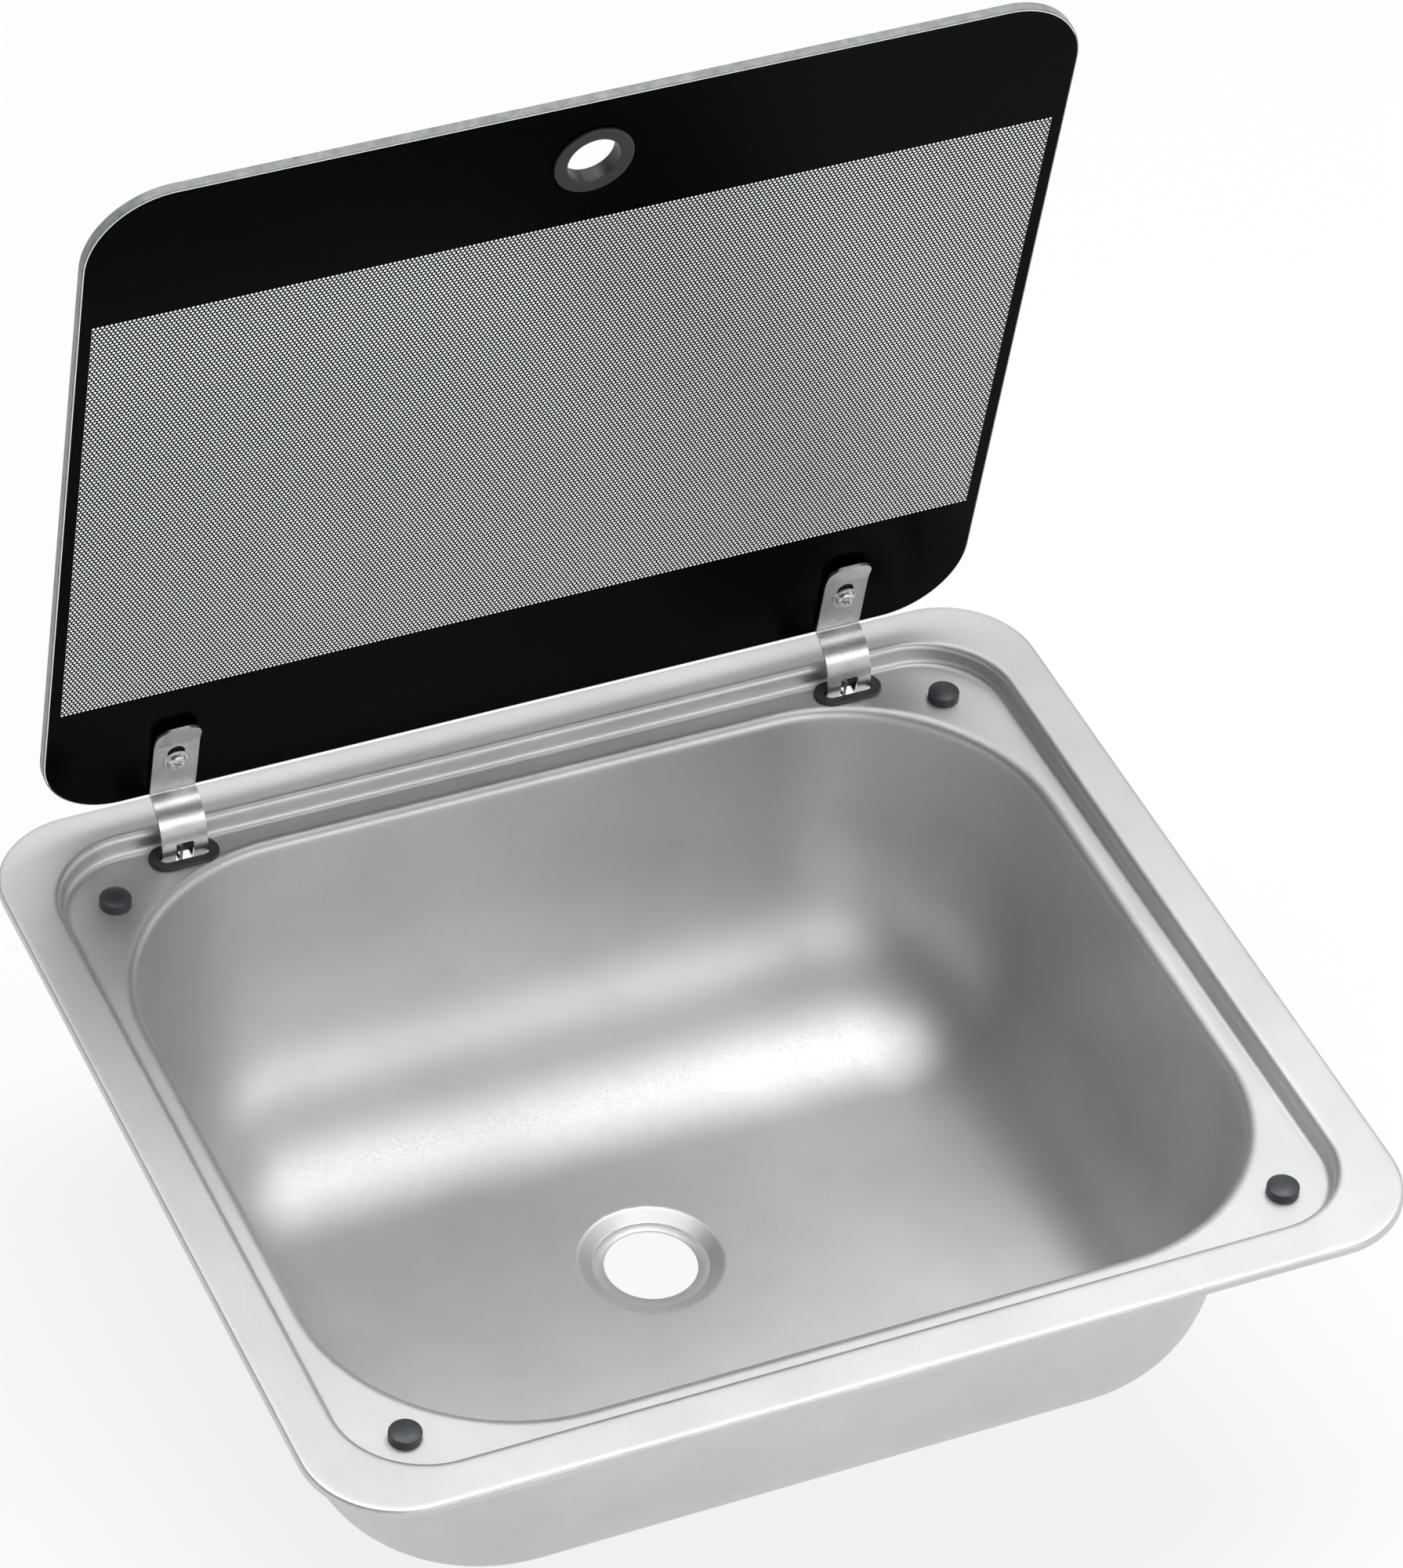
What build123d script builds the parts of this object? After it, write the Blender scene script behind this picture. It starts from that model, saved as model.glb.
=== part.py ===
"""Drop-in camper sink in pressed stainless steel, with a tempered glass lid on two sprung hinges.

Millimetres. +X is to the right seen from the front, +Y to the back, +Z up. The origin is the
centre of the flange in the plane of the worktop, on which the flange's turned-down lip stands.
The lid's pieces are drawn with the lid shut and then swung open about the hinge pins.
"""
from build123d import *
import os
from math import asin, atan2, cos, degrees, hypot, radians, sin, sqrt, tan

# ---- flange ----
flange_width = 420.0        # left to right
flange_depth = 370.0        # front to back
flange_corner = 36.0        # corner radius in plan
sheet = 0.8                 # pressed sheet's thickness
lip_height = 3.0            # top of the flange above the worktop
lip_edge_radius = 1.5       # roll over the flange's outer edge

# ---- recess that the lid shuts into ----
land_side = 19.0            # flange's edge to the recess wall, left and right
land_end = 19.0             # the same, front and back
recess_corner = 33.0
recess_drop = 8.8           # from the flange's top to the ledge
recess_edge_radius = 3.0    # roll from the flange into the recess
recess_foot_radius = 3.0    # between the recess wall and the ledge

# ---- bowl ----
ledge_side = 11.0           # recess wall to the bowl's wall at its mouth, left and right
ledge_end = 13.5            # the same, front and back
bowl_corner = 77.0          # plan radius of the corners at the mouth
floor_corner = 4.0          # plan radius left where the corners run out on the floor
mouth_radius = 5.0          # roll from the ledge into the bowl
wall_draft = 4.0            # degrees
side_sweep = 54.7           # radius of the sweep from the left and right walls into the floor
end_sweep = 83.5            # the same from the front and back walls
bowl_drop = 137.0           # from the flange's top to the floor
sweep_steps = 6             # outlines lofted down the sweep

# ---- drain ----
drain_y = 18.0              # behind the bowl's centre
drain_hole = 35.8           # diameter
drain_seat = 44.5           # flat ring that the waste fitting's flange lies on
drain_rim = 55.5            # where the dished ring starts in the floor
drain_dish = 3.0            # depth of the seat under the floor
dish_foot_radius = 1.2
dish_edge_radius = 3.5

# ---- lid ----
lid_gap_side = 3.7          # to the recess wall, lid shut, left and right
lid_gap_front = 0.4
lid_gap_corner = 1.0        # the lid's corner radius is less than the recess's by this
lid_edge_reach = 15.7       # the lid's hinge edge in front of the pins, lid shut
glass = 4.0
pencil_edge = 0.6           # rounding of the ground glass edge
enamel = 0.15               # fired black print under the glass
print_margin = 0.15         # bare glass left round the print
border_side = 5.3           # solid print beside the dotted see-through field
border_back = 58.6          # and along the hinge edge
border_front = 59.9         # and along the front edge

# ---- finger hole ----
finger_inset = 29.0         # centre, from the lid's front edge
finger_bore = 20.0
ring_sleeve = 23.6          # outside of the plastic sleeve
ring_fit = 0.2              # between the sleeve and the hole in the glass
ring_flange = 30.0
ring_rim = 1.3              # thickness of each flange
ring_round = 0.6

# ---- hinge line ----
pivot_set_back = 9.6        # behind the recess wall
pivot_z = -1.8
open_angle = 80.5           # from shut to resting open
hinge_inset = 51.55         # arms' centre lines, from the sides of the lid
pin_diameter = 2.8
pin_clearance = 0.05        # radial, in knuckles and ears
seat_gap = 0.3              # between pieces that move past each other, and under the shut lid

# ---- hinge arm ----
arm_width = 18.0
arm_thickness = 1.2
arm_radius = 18.4           # outside of the curved part, about the pin
arm_reach = 40.2            # tip, from the lid's hinge edge
tip_bend_reach = 29.6       # where the tip kicks away from the glass
tip_kick = 12.0             # degrees
tip_corner = 6.0
tip_bend_radius = 6.0
crease_radius = 1.5         # centre-line radius at the crease
arc_start = 192.0           # degrees about the pin, lid shut: end of the crease's straight
arc_end = 194.0             # degrees about the pin, lid open: where the curve ends under the ledge
return_drop = 6.6           # return strip's centre line under the pin, lid open
return_rise_y = -10.5       # where it turns up to the knuckle, from the pin
return_radius = 1.6
knuckle_turn = 290.0        # degrees rolled round the pin
arm_window = 7.0            # width of the slit for the spring's leg
arm_window_top = 3.4        # its upper edge above the pin, lid open
adjust_slot_length = 13.0
adjust_slot_width = 6.8
screw_reach = 20.4          # fixing screw, from the hinge edge
adjust_slot_reach = 21.5

# ---- fixing through the glass ----
pad = 0.8                   # soft pad between the print and the arm
pad_width = 16.0
pad_start = 7.6             # from the hinge edge
pad_end = 28.1
glass_hole = 10.0
bush_wall = 1.6             # nylon bush in the glass hole
bush_fit = 0.1
nut_sleeve = 6.2            # outside of the cap nut's threaded sleeve
nut_head = 16.0
nut_head_height = 1.9
nut_washer = 15.0
nut_washer_height = 0.5
screw_thread = 4.0
screw_head = 9.6
screw_head_height = 2.2
screw_flange_height = 0.5
screw_recess = 2.4          # across the drive recess
screw_recess_depth = 1.3
thread_fit = 0.05
sleeve_short = 0.4          # the nut's sleeve ends this far above the arm's face

# ---- bracket, pin and clip ----
bracket_sheet = 1.0
bracket_front = 6.0         # base plate's front edge before the pin
bracket_back = 7.0          # and its back edge behind it
ear_radius = 3.5            # round the pin
ear_gap = 0.4               # beside the arm
pin_head = 5.0
pin_head_height = 1.0
clip_groove = 2.2           # diameter of the groove for the clip
clip_groove_width = 0.7
clip_thickness = 0.6
clip_diameter = 6.0
clip_mouth = 1.9            # width of the clip's open side
pin_end = 0.8               # pin left past the groove

# ---- torsion spring ----
wire = 1.2
coil_radius = 2.15          # to the middle of the wire
coil_pitch = 1.65
coil_turns = 2
coil_shift = 0.9            # coil's middle from the arm's, so both legs clear the slit's sides
leg_bend_radius = 1.3
leg_start = 3.0             # of the moving leg, before it turns square to the pin
fixed_leg_angle = 315.0     # degrees about the pin, where the coil starts
moving_leg_angle = 291.0    # where it ends
leg_bar = 1.9               # cross bar under the upper edge of the arm's window

# ---- rubber ----
grommet_shift = 0.8         # middle of the slot behind the curved arm's centre line
grommet_length = 26.0
grommet_width = 13.0
grommet_opening_length = 20.0
grommet_opening_width = 8.0
grommet_neck = 1.0          # wall inside the ledge's slot
grommet_rim = 1.2           # above the ledge
grommet_lip = 0.8           # under the sheet
grommet_lip_reach = 1.2     # past the neck
buffer_side_inset = 22.1    # centres, from the recess walls
buffer_front_inset = 21.9
buffer_rear_inset = 23.8
buffer_diameter = 12.1
buffer_round = 1.6
buffer_stem = 6.0
buffer_lip = 8.4
buffer_lip_height = 1.4

# ---- plan sizes that follow ----
recess_width = flange_width - 2 * land_side
recess_depth = flange_depth - 2 * land_end
bowl_width = recess_width - 2 * ledge_side
bowl_depth = recess_depth - 2 * ledge_end
pivot_y = recess_depth / 2 + pivot_set_back
lid_back = pivot_y - lid_edge_reach         # shut, the lid's hinge edge
lid_width = recess_width - 2 * lid_gap_side
lid_depth = lid_back + recess_depth / 2 - lid_gap_front
lid_middle = lid_back - lid_depth / 2
lid_corner = recess_corner - lid_gap_corner
finger_y = lid_back - lid_depth + finger_inset
arc_radius = arm_radius - arm_thickness / 2
grommet_y = pivot_y - arc_radius + grommet_shift
buffer_x = recess_width / 2 - buffer_side_inset
buffer_rows = {"front": buffer_front_inset - recess_depth / 2, "rear": recess_depth / 2 - buffer_rear_inset}
hinge_x = {"left": hinge_inset - lid_width / 2, "right": lid_width / 2 - hinge_inset}

# ---- heights that follow ----
flange_top = lip_height
flange_under = flange_top - sheet
ledge = flange_top - recess_drop
ledge_under = ledge - sheet
floor = flange_top - bowl_drop
seat = floor - drain_dish
glass_low = flange_top - glass
print_low = glass_low - enamel
arm_top = print_low - pad                   # all with the lid shut
arm_low = arm_top - arm_thickness
plate_z = arm_top - arm_thickness / 2 - pivot_z
knuckle_radius = pin_diameter / 2 + pin_clearance + arm_thickness / 2
bracket_low = flange_under - bracket_sheet
ear_inner = arm_width / 2 + ear_gap
ear_outer = ear_inner + bracket_sheet

hinge_axis = Axis((0, pivot_y, pivot_z), (1, 0, 0))


def prism(sketch, low, high):
    """A plan sketch drawn up from one height to another."""
    return Pos(0, 0, low) * extrude(sketch, high - low)


def plate(width, depth, corner, low, high):
    """A slab with rounded corners, centred on the origin."""
    return prism(RectangleRounded(width, depth, corner), low, high)


def disc(x, y, diameter, low, high):
    """A round column."""
    return Pos(x, y, (low + high) / 2) * Cylinder(diameter / 2, high - low)


def at_height(shape, kind, z):
    """Edges of one geometry type that lie at one height."""
    return [e for e in shape.edges().filter_by(kind) if abs(e.center().Z - z) < 0.01]


def level_edges(shape, z):
    """Every edge that lies flat at one height."""
    found = []
    for edge in shape.edges():
        box = edge.bounding_box()
        if abs(box.min.Z - z) < 0.01 and abs(box.max.Z - z) < 0.01:
            found.append(edge)
    return found


def swing(part):
    """Turn a piece of the lid from shut to open."""
    return part.rotate(hinge_axis, -open_angle)


def turned(y, z, angle):
    """A point about the pin, turned by an angle in degrees from +Y towards +Z."""
    c, s = cos(radians(angle)), sin(radians(angle))
    return (y * c - z * s, y * s + z * c)


# ---- the sink ----
def sweep_start(radius):
    """Offset of a sweep's centre from the wall's place at the mouth; inwards is negative."""
    draft = radians(wall_draft)
    run = (ledge - floor - radius * (1 - sin(draft))) / cos(draft)
    return -run * sin(draft) - radius * cos(draft)


def wall_offset(radius, skin, z):
    """A wall's offset from its place at the mouth, at one height, down to its sweep's end.

    skin is 0 for the inner face and the sheet's thickness for the outer one, so the sheet keeps its
    thickness all the way down.
    """
    draft = radians(wall_draft)
    below = floor + radius - z
    if below < (radius + skin) * sin(draft):
        return (z - ledge) * tan(draft) + skin / cos(draft)
    return sweep_start(radius) + sqrt(max((radius + skin) ** 2 - below ** 2, 0))


def sweep_levels(skin):
    """Down the taller sweep from wall to floor: (the inner face's height, this face's height)."""
    draft = radians(wall_draft)
    tallest = max(side_sweep, end_sweep)
    levels = []
    for step in range(sweep_steps + 1):
        a = draft + (radians(90) - draft) * step / sweep_steps
        height = floor + tallest * (1 - sin(a))
        levels.append((height, height - skin * sin(a)))
    return levels


def bowl_ring(corner, side, end, z):
    """The bowl's outline at one height, with its sides and its ends moved out by an offset."""
    return Pos(0, 0, z) * RectangleRounded(bowl_width + 2 * side, bowl_depth + 2 * end, corner)


def bowl_solid(skin):
    """The bowl's inside, or its outside when skin is the sheet's thickness."""
    sections = []
    for inner_z, z in sweep_levels(skin):
        inner = [wall_offset(radius, 0, inner_z) for radius in (side_sweep, end_sweep)]
        side, end = [wall_offset(radius, skin, z) for radius in (side_sweep, end_sweep)]
        share = (inner[0] / sweep_start(side_sweep) + inner[1] / sweep_start(end_sweep)) / 2
        grow = (side + end - sum(inner)) / 2
        corner = bowl_corner + (floor_corner - bowl_corner) * share + grow
        sections.append(bowl_ring(corner, side, end, z))
    grow = skin / cos(radians(wall_draft))
    mouth = bowl_ring(bowl_corner + grow, grow, grow, ledge)
    return loft([mouth, sections[0]], ruled=True) + loft(sections)


def dish(skin, foot):
    """The dished ring round the drain, as a cone with a rounded foot."""
    upper = drain_rim / 2 + skin
    lower = drain_seat / 2 + skin
    cone = Pos(0, drain_y, seat - skin + drain_dish / 2) * Cone(lower, upper, drain_dish)
    return fillet(level_edges(cone, seat - skin), foot)


def ring_edges(shape, z, width, depth):
    """Flat edges at one height inside a centred rectangle, such as the rim of a mouth."""
    ring = []
    for edge in level_edges(shape, z):
        box = edge.bounding_box()
        if max(-box.min.X, box.max.X) < width / 2 and max(-box.min.Y, box.max.Y) < depth / 2:
            ring.append(edge)
    return ring


def sink_bowl():
    """Flange, recess and bowl, pressed from one sheet, with the slots and holes punched in it."""
    flange = plate(flange_width, flange_depth, flange_corner, 0, flange_top)
    flange = fillet(level_edges(flange, flange_top), lip_edge_radius)
    under_width, under_depth = flange_width - 2 * sheet, flange_depth - 2 * sheet
    under = plate(under_width, under_depth, flange_corner - sheet, 0, flange_under)
    under = fillet(level_edges(under, flange_under), lip_edge_radius - sheet)

    tray_width, tray_depth = recess_width + 2 * sheet, recess_depth + 2 * sheet
    tray = plate(tray_width, tray_depth, recess_corner + sheet, ledge_under, flange_top)
    tray = fillet(level_edges(tray, ledge_under), recess_foot_radius + sheet)
    pocket = plate(recess_width, recess_depth, recess_corner, ledge, flange_top)
    pocket = fillet(level_edges(pocket, ledge), recess_foot_radius)

    mouth_width, mouth_depth = bowl_width + mouth_radius, bowl_depth + mouth_radius
    body = tray + bowl_solid(sheet)
    body = fillet(ring_edges(body, ledge_under, mouth_width, mouth_depth), mouth_radius - sheet)
    body = body + (flange - under) + dish(sheet, dish_foot_radius + sheet) - pocket
    rim = ring_edges(body, flange_top, recess_width + sheet, recess_depth + sheet)
    body = fillet(rim, recess_edge_radius)
    body = body - bowl_solid(0)
    body = fillet(ring_edges(body, ledge, mouth_width, mouth_depth), mouth_radius)
    body = body - dish(0, dish_foot_radius)
    edge = drain_rim + 2
    dish_rim = [e for e in level_edges(body, floor) if e.bounding_box().size.X < edge]
    body = fillet(dish_rim, dish_edge_radius)
    body = body - disc(0, drain_y, drain_hole, seat - 5, floor)
    for x in hinge_x.values():
        body = body - prism(grommet_plan(x, grommet_neck), ledge_under - 1, ledge + 1)
    for x in (-buffer_x, buffer_x):
        for y in buffer_rows.values():
            body = body - disc(x, y, buffer_stem, ledge_under - 1, ledge + 1)
    return body


# ---- rubber on the ledge ----
def grommet_plan(x, grow):
    """The grommet's opening in plan, grown all round."""
    length, width = grommet_opening_length + 2 * grow, grommet_opening_width + 2 * grow
    return Pos(x, grommet_y) * SlotOverall(length, width)


def slot_grommet(x, bowl):
    """Oval rubber grommet, gripping the edge of the ledge's slot."""
    rim_top = ledge + grommet_rim
    rim = prism(Pos(x, grommet_y) * SlotOverall(grommet_length, grommet_width), ledge, rim_top)
    body = fillet(level_edges(rim, rim_top), grommet_rim / 2)
    body = body + prism(grommet_plan(x, grommet_neck), ledge_under, ledge)
    lip = grommet_plan(x, grommet_neck + grommet_lip_reach)
    body = body + prism(lip, ledge_under - grommet_lip, ledge_under)
    body = body - prism(grommet_plan(x, 0), ledge_under - 2, ledge + 2)
    return body - bowl


def lid_buffer(x, y):
    """Rubber button under a corner of the lid, its stem pulled through the ledge."""
    top = print_low - seat_gap
    button = disc(x, y, buffer_diameter, ledge, top)
    button = fillet(level_edges(button, top), buffer_round)
    stem = disc(x, y, buffer_stem, ledge_under - 0.2, ledge)
    lip_z = ledge_under - buffer_lip_height / 2
    lip = Pos(x, y, lip_z) * Cone(buffer_stem / 2, buffer_lip / 2, buffer_lip_height)
    return button + stem + lip


# ---- lid ----
def lid_blank(margin, low, high):
    """The lid's outline, drawn in by a margin, between two heights with the lid shut."""
    outline = RectangleRounded(lid_width - 2 * margin, lid_depth - 2 * margin, lid_corner - margin)
    return Pos(0, lid_middle, 0) * prism(outline, low, high)


def lid_holes(low, high, finger, fixing):
    """The finger hole and the two hinge holes."""
    holes = disc(0, finger_y, finger, low, high)
    for x in hinge_x.values():
        holes = holes + disc(x, lid_back - screw_reach, fixing, low, high)
    return holes


def lid_glass():
    """Tempered glass with a pencil-ground edge."""
    pane = lid_blank(0, glass_low, flange_top)
    edges = level_edges(pane, glass_low) + level_edges(pane, flange_top)
    pane = fillet(edges, pencil_edge)
    hole = ring_sleeve + 2 * ring_fit
    return swing(pane - lid_holes(glass_low - 1, flange_top + 1, hole, glass_hole))


def lid_print():
    """Black enamel under the glass, left open where the dotted field lets light through."""
    layer = lid_blank(pencil_edge + print_margin, print_low, glass_low)
    hole = ring_sleeve + 2 * ring_fit
    layer = layer - lid_holes(print_low - 1, glass_low + 1, hole, glass_hole)
    length = lid_depth - border_back - border_front
    field = Pos(0, lid_back - border_back - length / 2) * Rectangle(lid_width - 2 * border_side, length)
    return swing(layer - prism(field, print_low - 1, glass_low + 1))


def finger_ring():
    """Plastic sleeve in the finger hole, with its flange under the glass."""
    flange = disc(0, finger_y, ring_flange, print_low - ring_rim, print_low)
    flange = fillet(level_edges(flange, print_low - ring_rim), ring_round)
    body = flange + disc(0, finger_y, ring_sleeve, print_low, flange_top)
    body = body - disc(0, finger_y, finger_bore, print_low - 5, flange_top + 5)
    return swing(body)


def finger_ring_cap():
    """The matching flange that snaps on from above."""
    cap = disc(0, finger_y, ring_flange, flange_top, flange_top + ring_rim)
    cap = fillet(level_edges(cap, flange_top + ring_rim), ring_round)
    return swing(cap - disc(0, finger_y, finger_bore, flange_top - 1, flange_top + 5))


# ---- hinge arm ----
def arm_side():
    """The arm seen from its side, lid shut, as a strip of even thickness about the pin."""
    tip_y = lid_back - tip_bend_reach - pivot_y
    kick = radians(tip_kick)
    tip_length = arm_reach - tip_bend_reach
    tip = (tip_y - tip_length * cos(kick), plate_z - tip_length * sin(kick))
    start = radians(arc_start)
    arc_top = (arc_radius * cos(start), arc_radius * sin(start))
    climb = (plate_z - arc_top[1]) / -cos(start)
    crease = (arc_top[0] + climb * sin(start), plate_z)

    end = radians(arc_end)
    arc_foot = (arc_radius * cos(end), arc_radius * sin(end))
    fall = (-return_drop - arc_foot[1]) / cos(end)
    heel = (arc_foot[0] - fall * sin(end), -return_drop)
    rise = (return_rise_y, -return_drop)
    reach = hypot(*rise)
    slope = atan2(return_drop, -return_rise_y) - asin(knuckle_radius / reach)
    run = sqrt(reach**2 - knuckle_radius**2)
    touch = (rise[0] + run * cos(slope), rise[1] + run * sin(slope))

    def shut(point):
        return turned(point[0], point[1], open_angle)

    plate_line = FilletPolyline(tip, (tip_y, plate_z), crease, arc_top,
                                radius=[tip_bend_radius, crease_radius])
    curve = CenterArc((0, 0), arc_radius, arc_start, arc_end + open_angle - arc_start)
    return_line = FilletPolyline(shut(arc_foot), shut(heel), shut(rise), shut(touch),
                                 radius=[return_radius, 3 * return_radius])
    roll_start = degrees(slope) - 90 + open_angle
    roll = CenterArc((0, 0), knuckle_radius, roll_start, knuckle_turn)
    side = trace(plate_line, arm_thickness) + trace(curve, arm_thickness)
    side = side + trace(return_line, arm_thickness) + trace(roll, arm_thickness)
    return side


def hinge_arm(x):
    """Steel strip: plate on the glass, crease, curve through the slot and two rolled knuckles."""
    side = Plane(origin=(x - arm_width / 2, pivot_y, pivot_z), x_dir=(0, 1, 0), z_dir=(1, 0, 0))
    strip = extrude(side * arm_side(), arm_width)
    end_y = lid_back - arm_reach
    plan = Pos(x, end_y + 40) * RectangleRounded(arm_width, 80, tip_corner)
    plan = prism(plan, -40, 20)
    slot = Rot(0, 0, 90) * SlotOverall(adjust_slot_length, adjust_slot_width)
    slot = Pos(x, lid_back - adjust_slot_reach) * slot
    strip = strip & plan
    strip = swing(strip - prism(slot, arm_low - 1, arm_top + 1))
    gap_top = pivot_z + arm_window_top
    gap = Pos(x, pivot_y, gap_top - 20) * Box(arm_window, 50, 40)
    return strip - gap


def arm_pad(x):
    """Soft pad between the arm and the glass."""
    length = pad_end - pad_start
    block = Pos(x, lid_back - (pad_start + pad_end) / 2) * RectangleRounded(pad_width, length, 2)
    body = prism(block, arm_top, print_low)
    return swing(body - disc(x, lid_back - screw_reach, nut_sleeve + 0.4, arm_top - 1, print_low + 1))


def glass_bush(x):
    """Nylon bush that keeps the nut's sleeve off the glass."""
    y = lid_back - screw_reach
    outer = glass_hole - 2 * bush_fit
    inner = outer - 2 * bush_wall
    return swing(disc(x, y, outer, print_low, flange_top) - disc(x, y, inner, print_low - 1, flange_top + 1))


def nut_washer_disc(x):
    """Soft washer under the cap nut's head."""
    y = lid_back - screw_reach
    high = flange_top + nut_washer_height
    body = disc(x, y, nut_washer, flange_top, high)
    return swing(body - disc(x, y, nut_sleeve + 0.2, flange_top - 1, high + 1))


def cap_nut(x):
    """Flat round nut on top of the glass, its threaded sleeve reaching down to the arm."""
    y = lid_back - screw_reach
    low = flange_top + nut_washer_height
    head = disc(x, y, nut_head, low, low + nut_head_height)
    head = fillet(level_edges(head, low + nut_head_height), nut_head_height / 2)
    sleeve = disc(x, y, nut_sleeve, arm_top + sleeve_short, low)
    bore = disc(x, y, screw_thread + 2 * thread_fit, arm_top - 1, low)
    return swing(head + sleeve - bore)


def hinge_screw(x):
    """Pan-head screw with a thin flange, up through the arm's slot into the cap nut."""
    y = lid_back - screw_reach
    flange_low = arm_low - screw_flange_height
    head_low = arm_low - screw_head_height
    flange = disc(x, y, screw_head, flange_low, arm_low)
    head = disc(x, y, screw_head - 1.6, head_low, flange_low)
    head = fillet(level_edges(head, head_low), 1.1)
    shank = disc(x, y, screw_thread, arm_low, flange_top)
    recess = Pos(x, y) * RegularPolygon(screw_recess / 2, 6)
    recess = prism(recess, head_low - 1, head_low + screw_recess_depth)
    return swing(flange + head + shank - recess)


# ---- bracket, pin and clip ----
def hinge_bracket(x):
    """Channel welded under the flange, an ear on each side of the arm."""
    length = bracket_back + bracket_front
    middle = pivot_y + (bracket_back - bracket_front) / 2
    base = Pos(x, middle, (bracket_low + flange_under) / 2) * Box(2 * ear_outer, length, bracket_sheet)
    across = Plane(origin=(0, pivot_y, pivot_z), x_dir=(0, 1, 0), z_dir=(1, 0, 0))
    up = flange_under - pivot_z
    tab = Pos(0, up / 2) * Rectangle(2 * ear_radius, up) + Circle(ear_radius)
    tab = tab - Circle(pin_diameter / 2 + pin_clearance)
    body = base
    for inner in (x - ear_outer, x + ear_inner):
        body = body + Pos(inner, 0, 0) * extrude(across * tab, bracket_sheet)
    return body


def pin_span(x, side):
    """X of the pin's head side and clip side, the head towards the middle of the sink."""
    return (x - side * ear_outer, x + side * ear_outer)


def along_pin(start, end, diameter):
    """A round length of the hinge line."""
    return Pos((start + end) / 2, pivot_y, pivot_z) * Rot(0, 90, 0) * Cylinder(diameter / 2, abs(end - start))


def pivot_pin(x, side):
    """Headed pin through both ears, grooved for its clip."""
    head_face, clip_face = pin_span(x, side)
    groove = clip_face + side * 0.1
    groove_end = groove + side * clip_groove_width
    body = along_pin(head_face, groove, pin_diameter)
    body = body + along_pin(groove, groove_end, clip_groove)
    body = body + along_pin(groove_end, groove_end + side * pin_end, pin_diameter)
    return body + along_pin(head_face - side * pin_head_height, head_face, pin_head)


def pin_clip(x, side):
    """Spring clip pushed into the pin's groove from below."""
    clip_face = pin_span(x, side)[1]
    start = clip_face + side * (0.1 + (clip_groove_width - clip_thickness) / 2)
    end = start + side * clip_thickness
    ring = along_pin(start, end, clip_diameter) - along_pin(start - side, end + side, clip_groove)
    mouth = Pos((start + end) / 2, pivot_y, pivot_z - clip_diameter / 2) * Box(2, clip_mouth, clip_diameter)
    return ring - mouth


# ---- torsion spring ----
def coil_point(x, angle, along):
    """A point on the coil's centre line, by its angle about the pin."""
    a = radians(angle)
    return Vector(x + coil_shift + along, pivot_y + coil_radius * cos(a), pivot_z + coil_radius * sin(a))


def coil_direction(angle):
    """The wire's direction there, winding from +Z towards +Y."""
    a = radians(angle)
    rise = -coil_pitch / 360
    around = radians(1) * coil_radius
    return Vector(rise, around * sin(a), -around * cos(a)).normalized()


def biarc(start, start_way, end, end_way):
    """Two arcs that join two points and are tangent to a direction at each."""
    across = end - start
    both = start_way + end_way
    a = 2 * (1 - start_way.dot(end_way))
    b = across.dot(both)
    d = (-b + sqrt(b * b + a * across.dot(across))) / a
    first = start + start_way * d
    second = end - end_way * d
    middle = (first + second) * 0.5
    return [TangentArc(start, middle, tangent=start_way),
            TangentArc(middle, end, tangent=second - first)]


def spring_path(x):
    """Fixed leg, coil and moving leg as one tangent-continuous line."""
    swept = 360 * coil_turns + fixed_leg_angle - moving_leg_angle
    half = coil_pitch * swept / 720
    quarters = 4 * coil_turns
    turn = swept / quarters
    edges = []
    for k in range(quarters):
        a0 = fixed_leg_angle - k * turn
        a1 = a0 - turn
        p0 = coil_point(x, a0, half - coil_pitch * k * turn / 360)
        p1 = coil_point(x, a1, half - coil_pitch * (k + 1) * turn / 360)
        edges += biarc(p0, coil_direction(a0), p1, coil_direction(a1))
    first = coil_point(x, fixed_leg_angle, half)
    way = coil_direction(fixed_leg_angle)
    stop_z = bracket_low - wire / 2 - seat_gap / 2
    fixed_end = first - way * ((stop_z - first.Z) / -way.Z)
    last = coil_point(x, moving_leg_angle, -half)
    way = coil_direction(moving_leg_angle)
    ease = last + way * leg_start
    low = pivot_z - return_drop
    down = Vector(ease.X, ease.Y + (low - ease.Z) * way.Y / way.Z, low)
    front = pivot_y - arc_radius
    top = pivot_z + arm_window_top - wire / 2 - seat_gap / 2
    heel = Vector(ease.X, front + 1.0, low)
    upper = Vector(ease.X, front, top)
    bar = Vector(ease.X - leg_bar, front, top)
    moving_leg = FilletPolyline(last, ease, down, heel, upper, bar,
                                radius=[4.0, 3.0, leg_bend_radius, leg_bend_radius])
    return [Line(fixed_end, first)] + edges + list(moving_leg.edges())


def torsion_spring(x):
    """The whole spring as one unbroken wire."""
    path = Wire(spring_path(x))
    section = Plane(origin=path @ 0, z_dir=path % 0) * Circle(wire / 2)
    return sweep(section, path=path)


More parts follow.
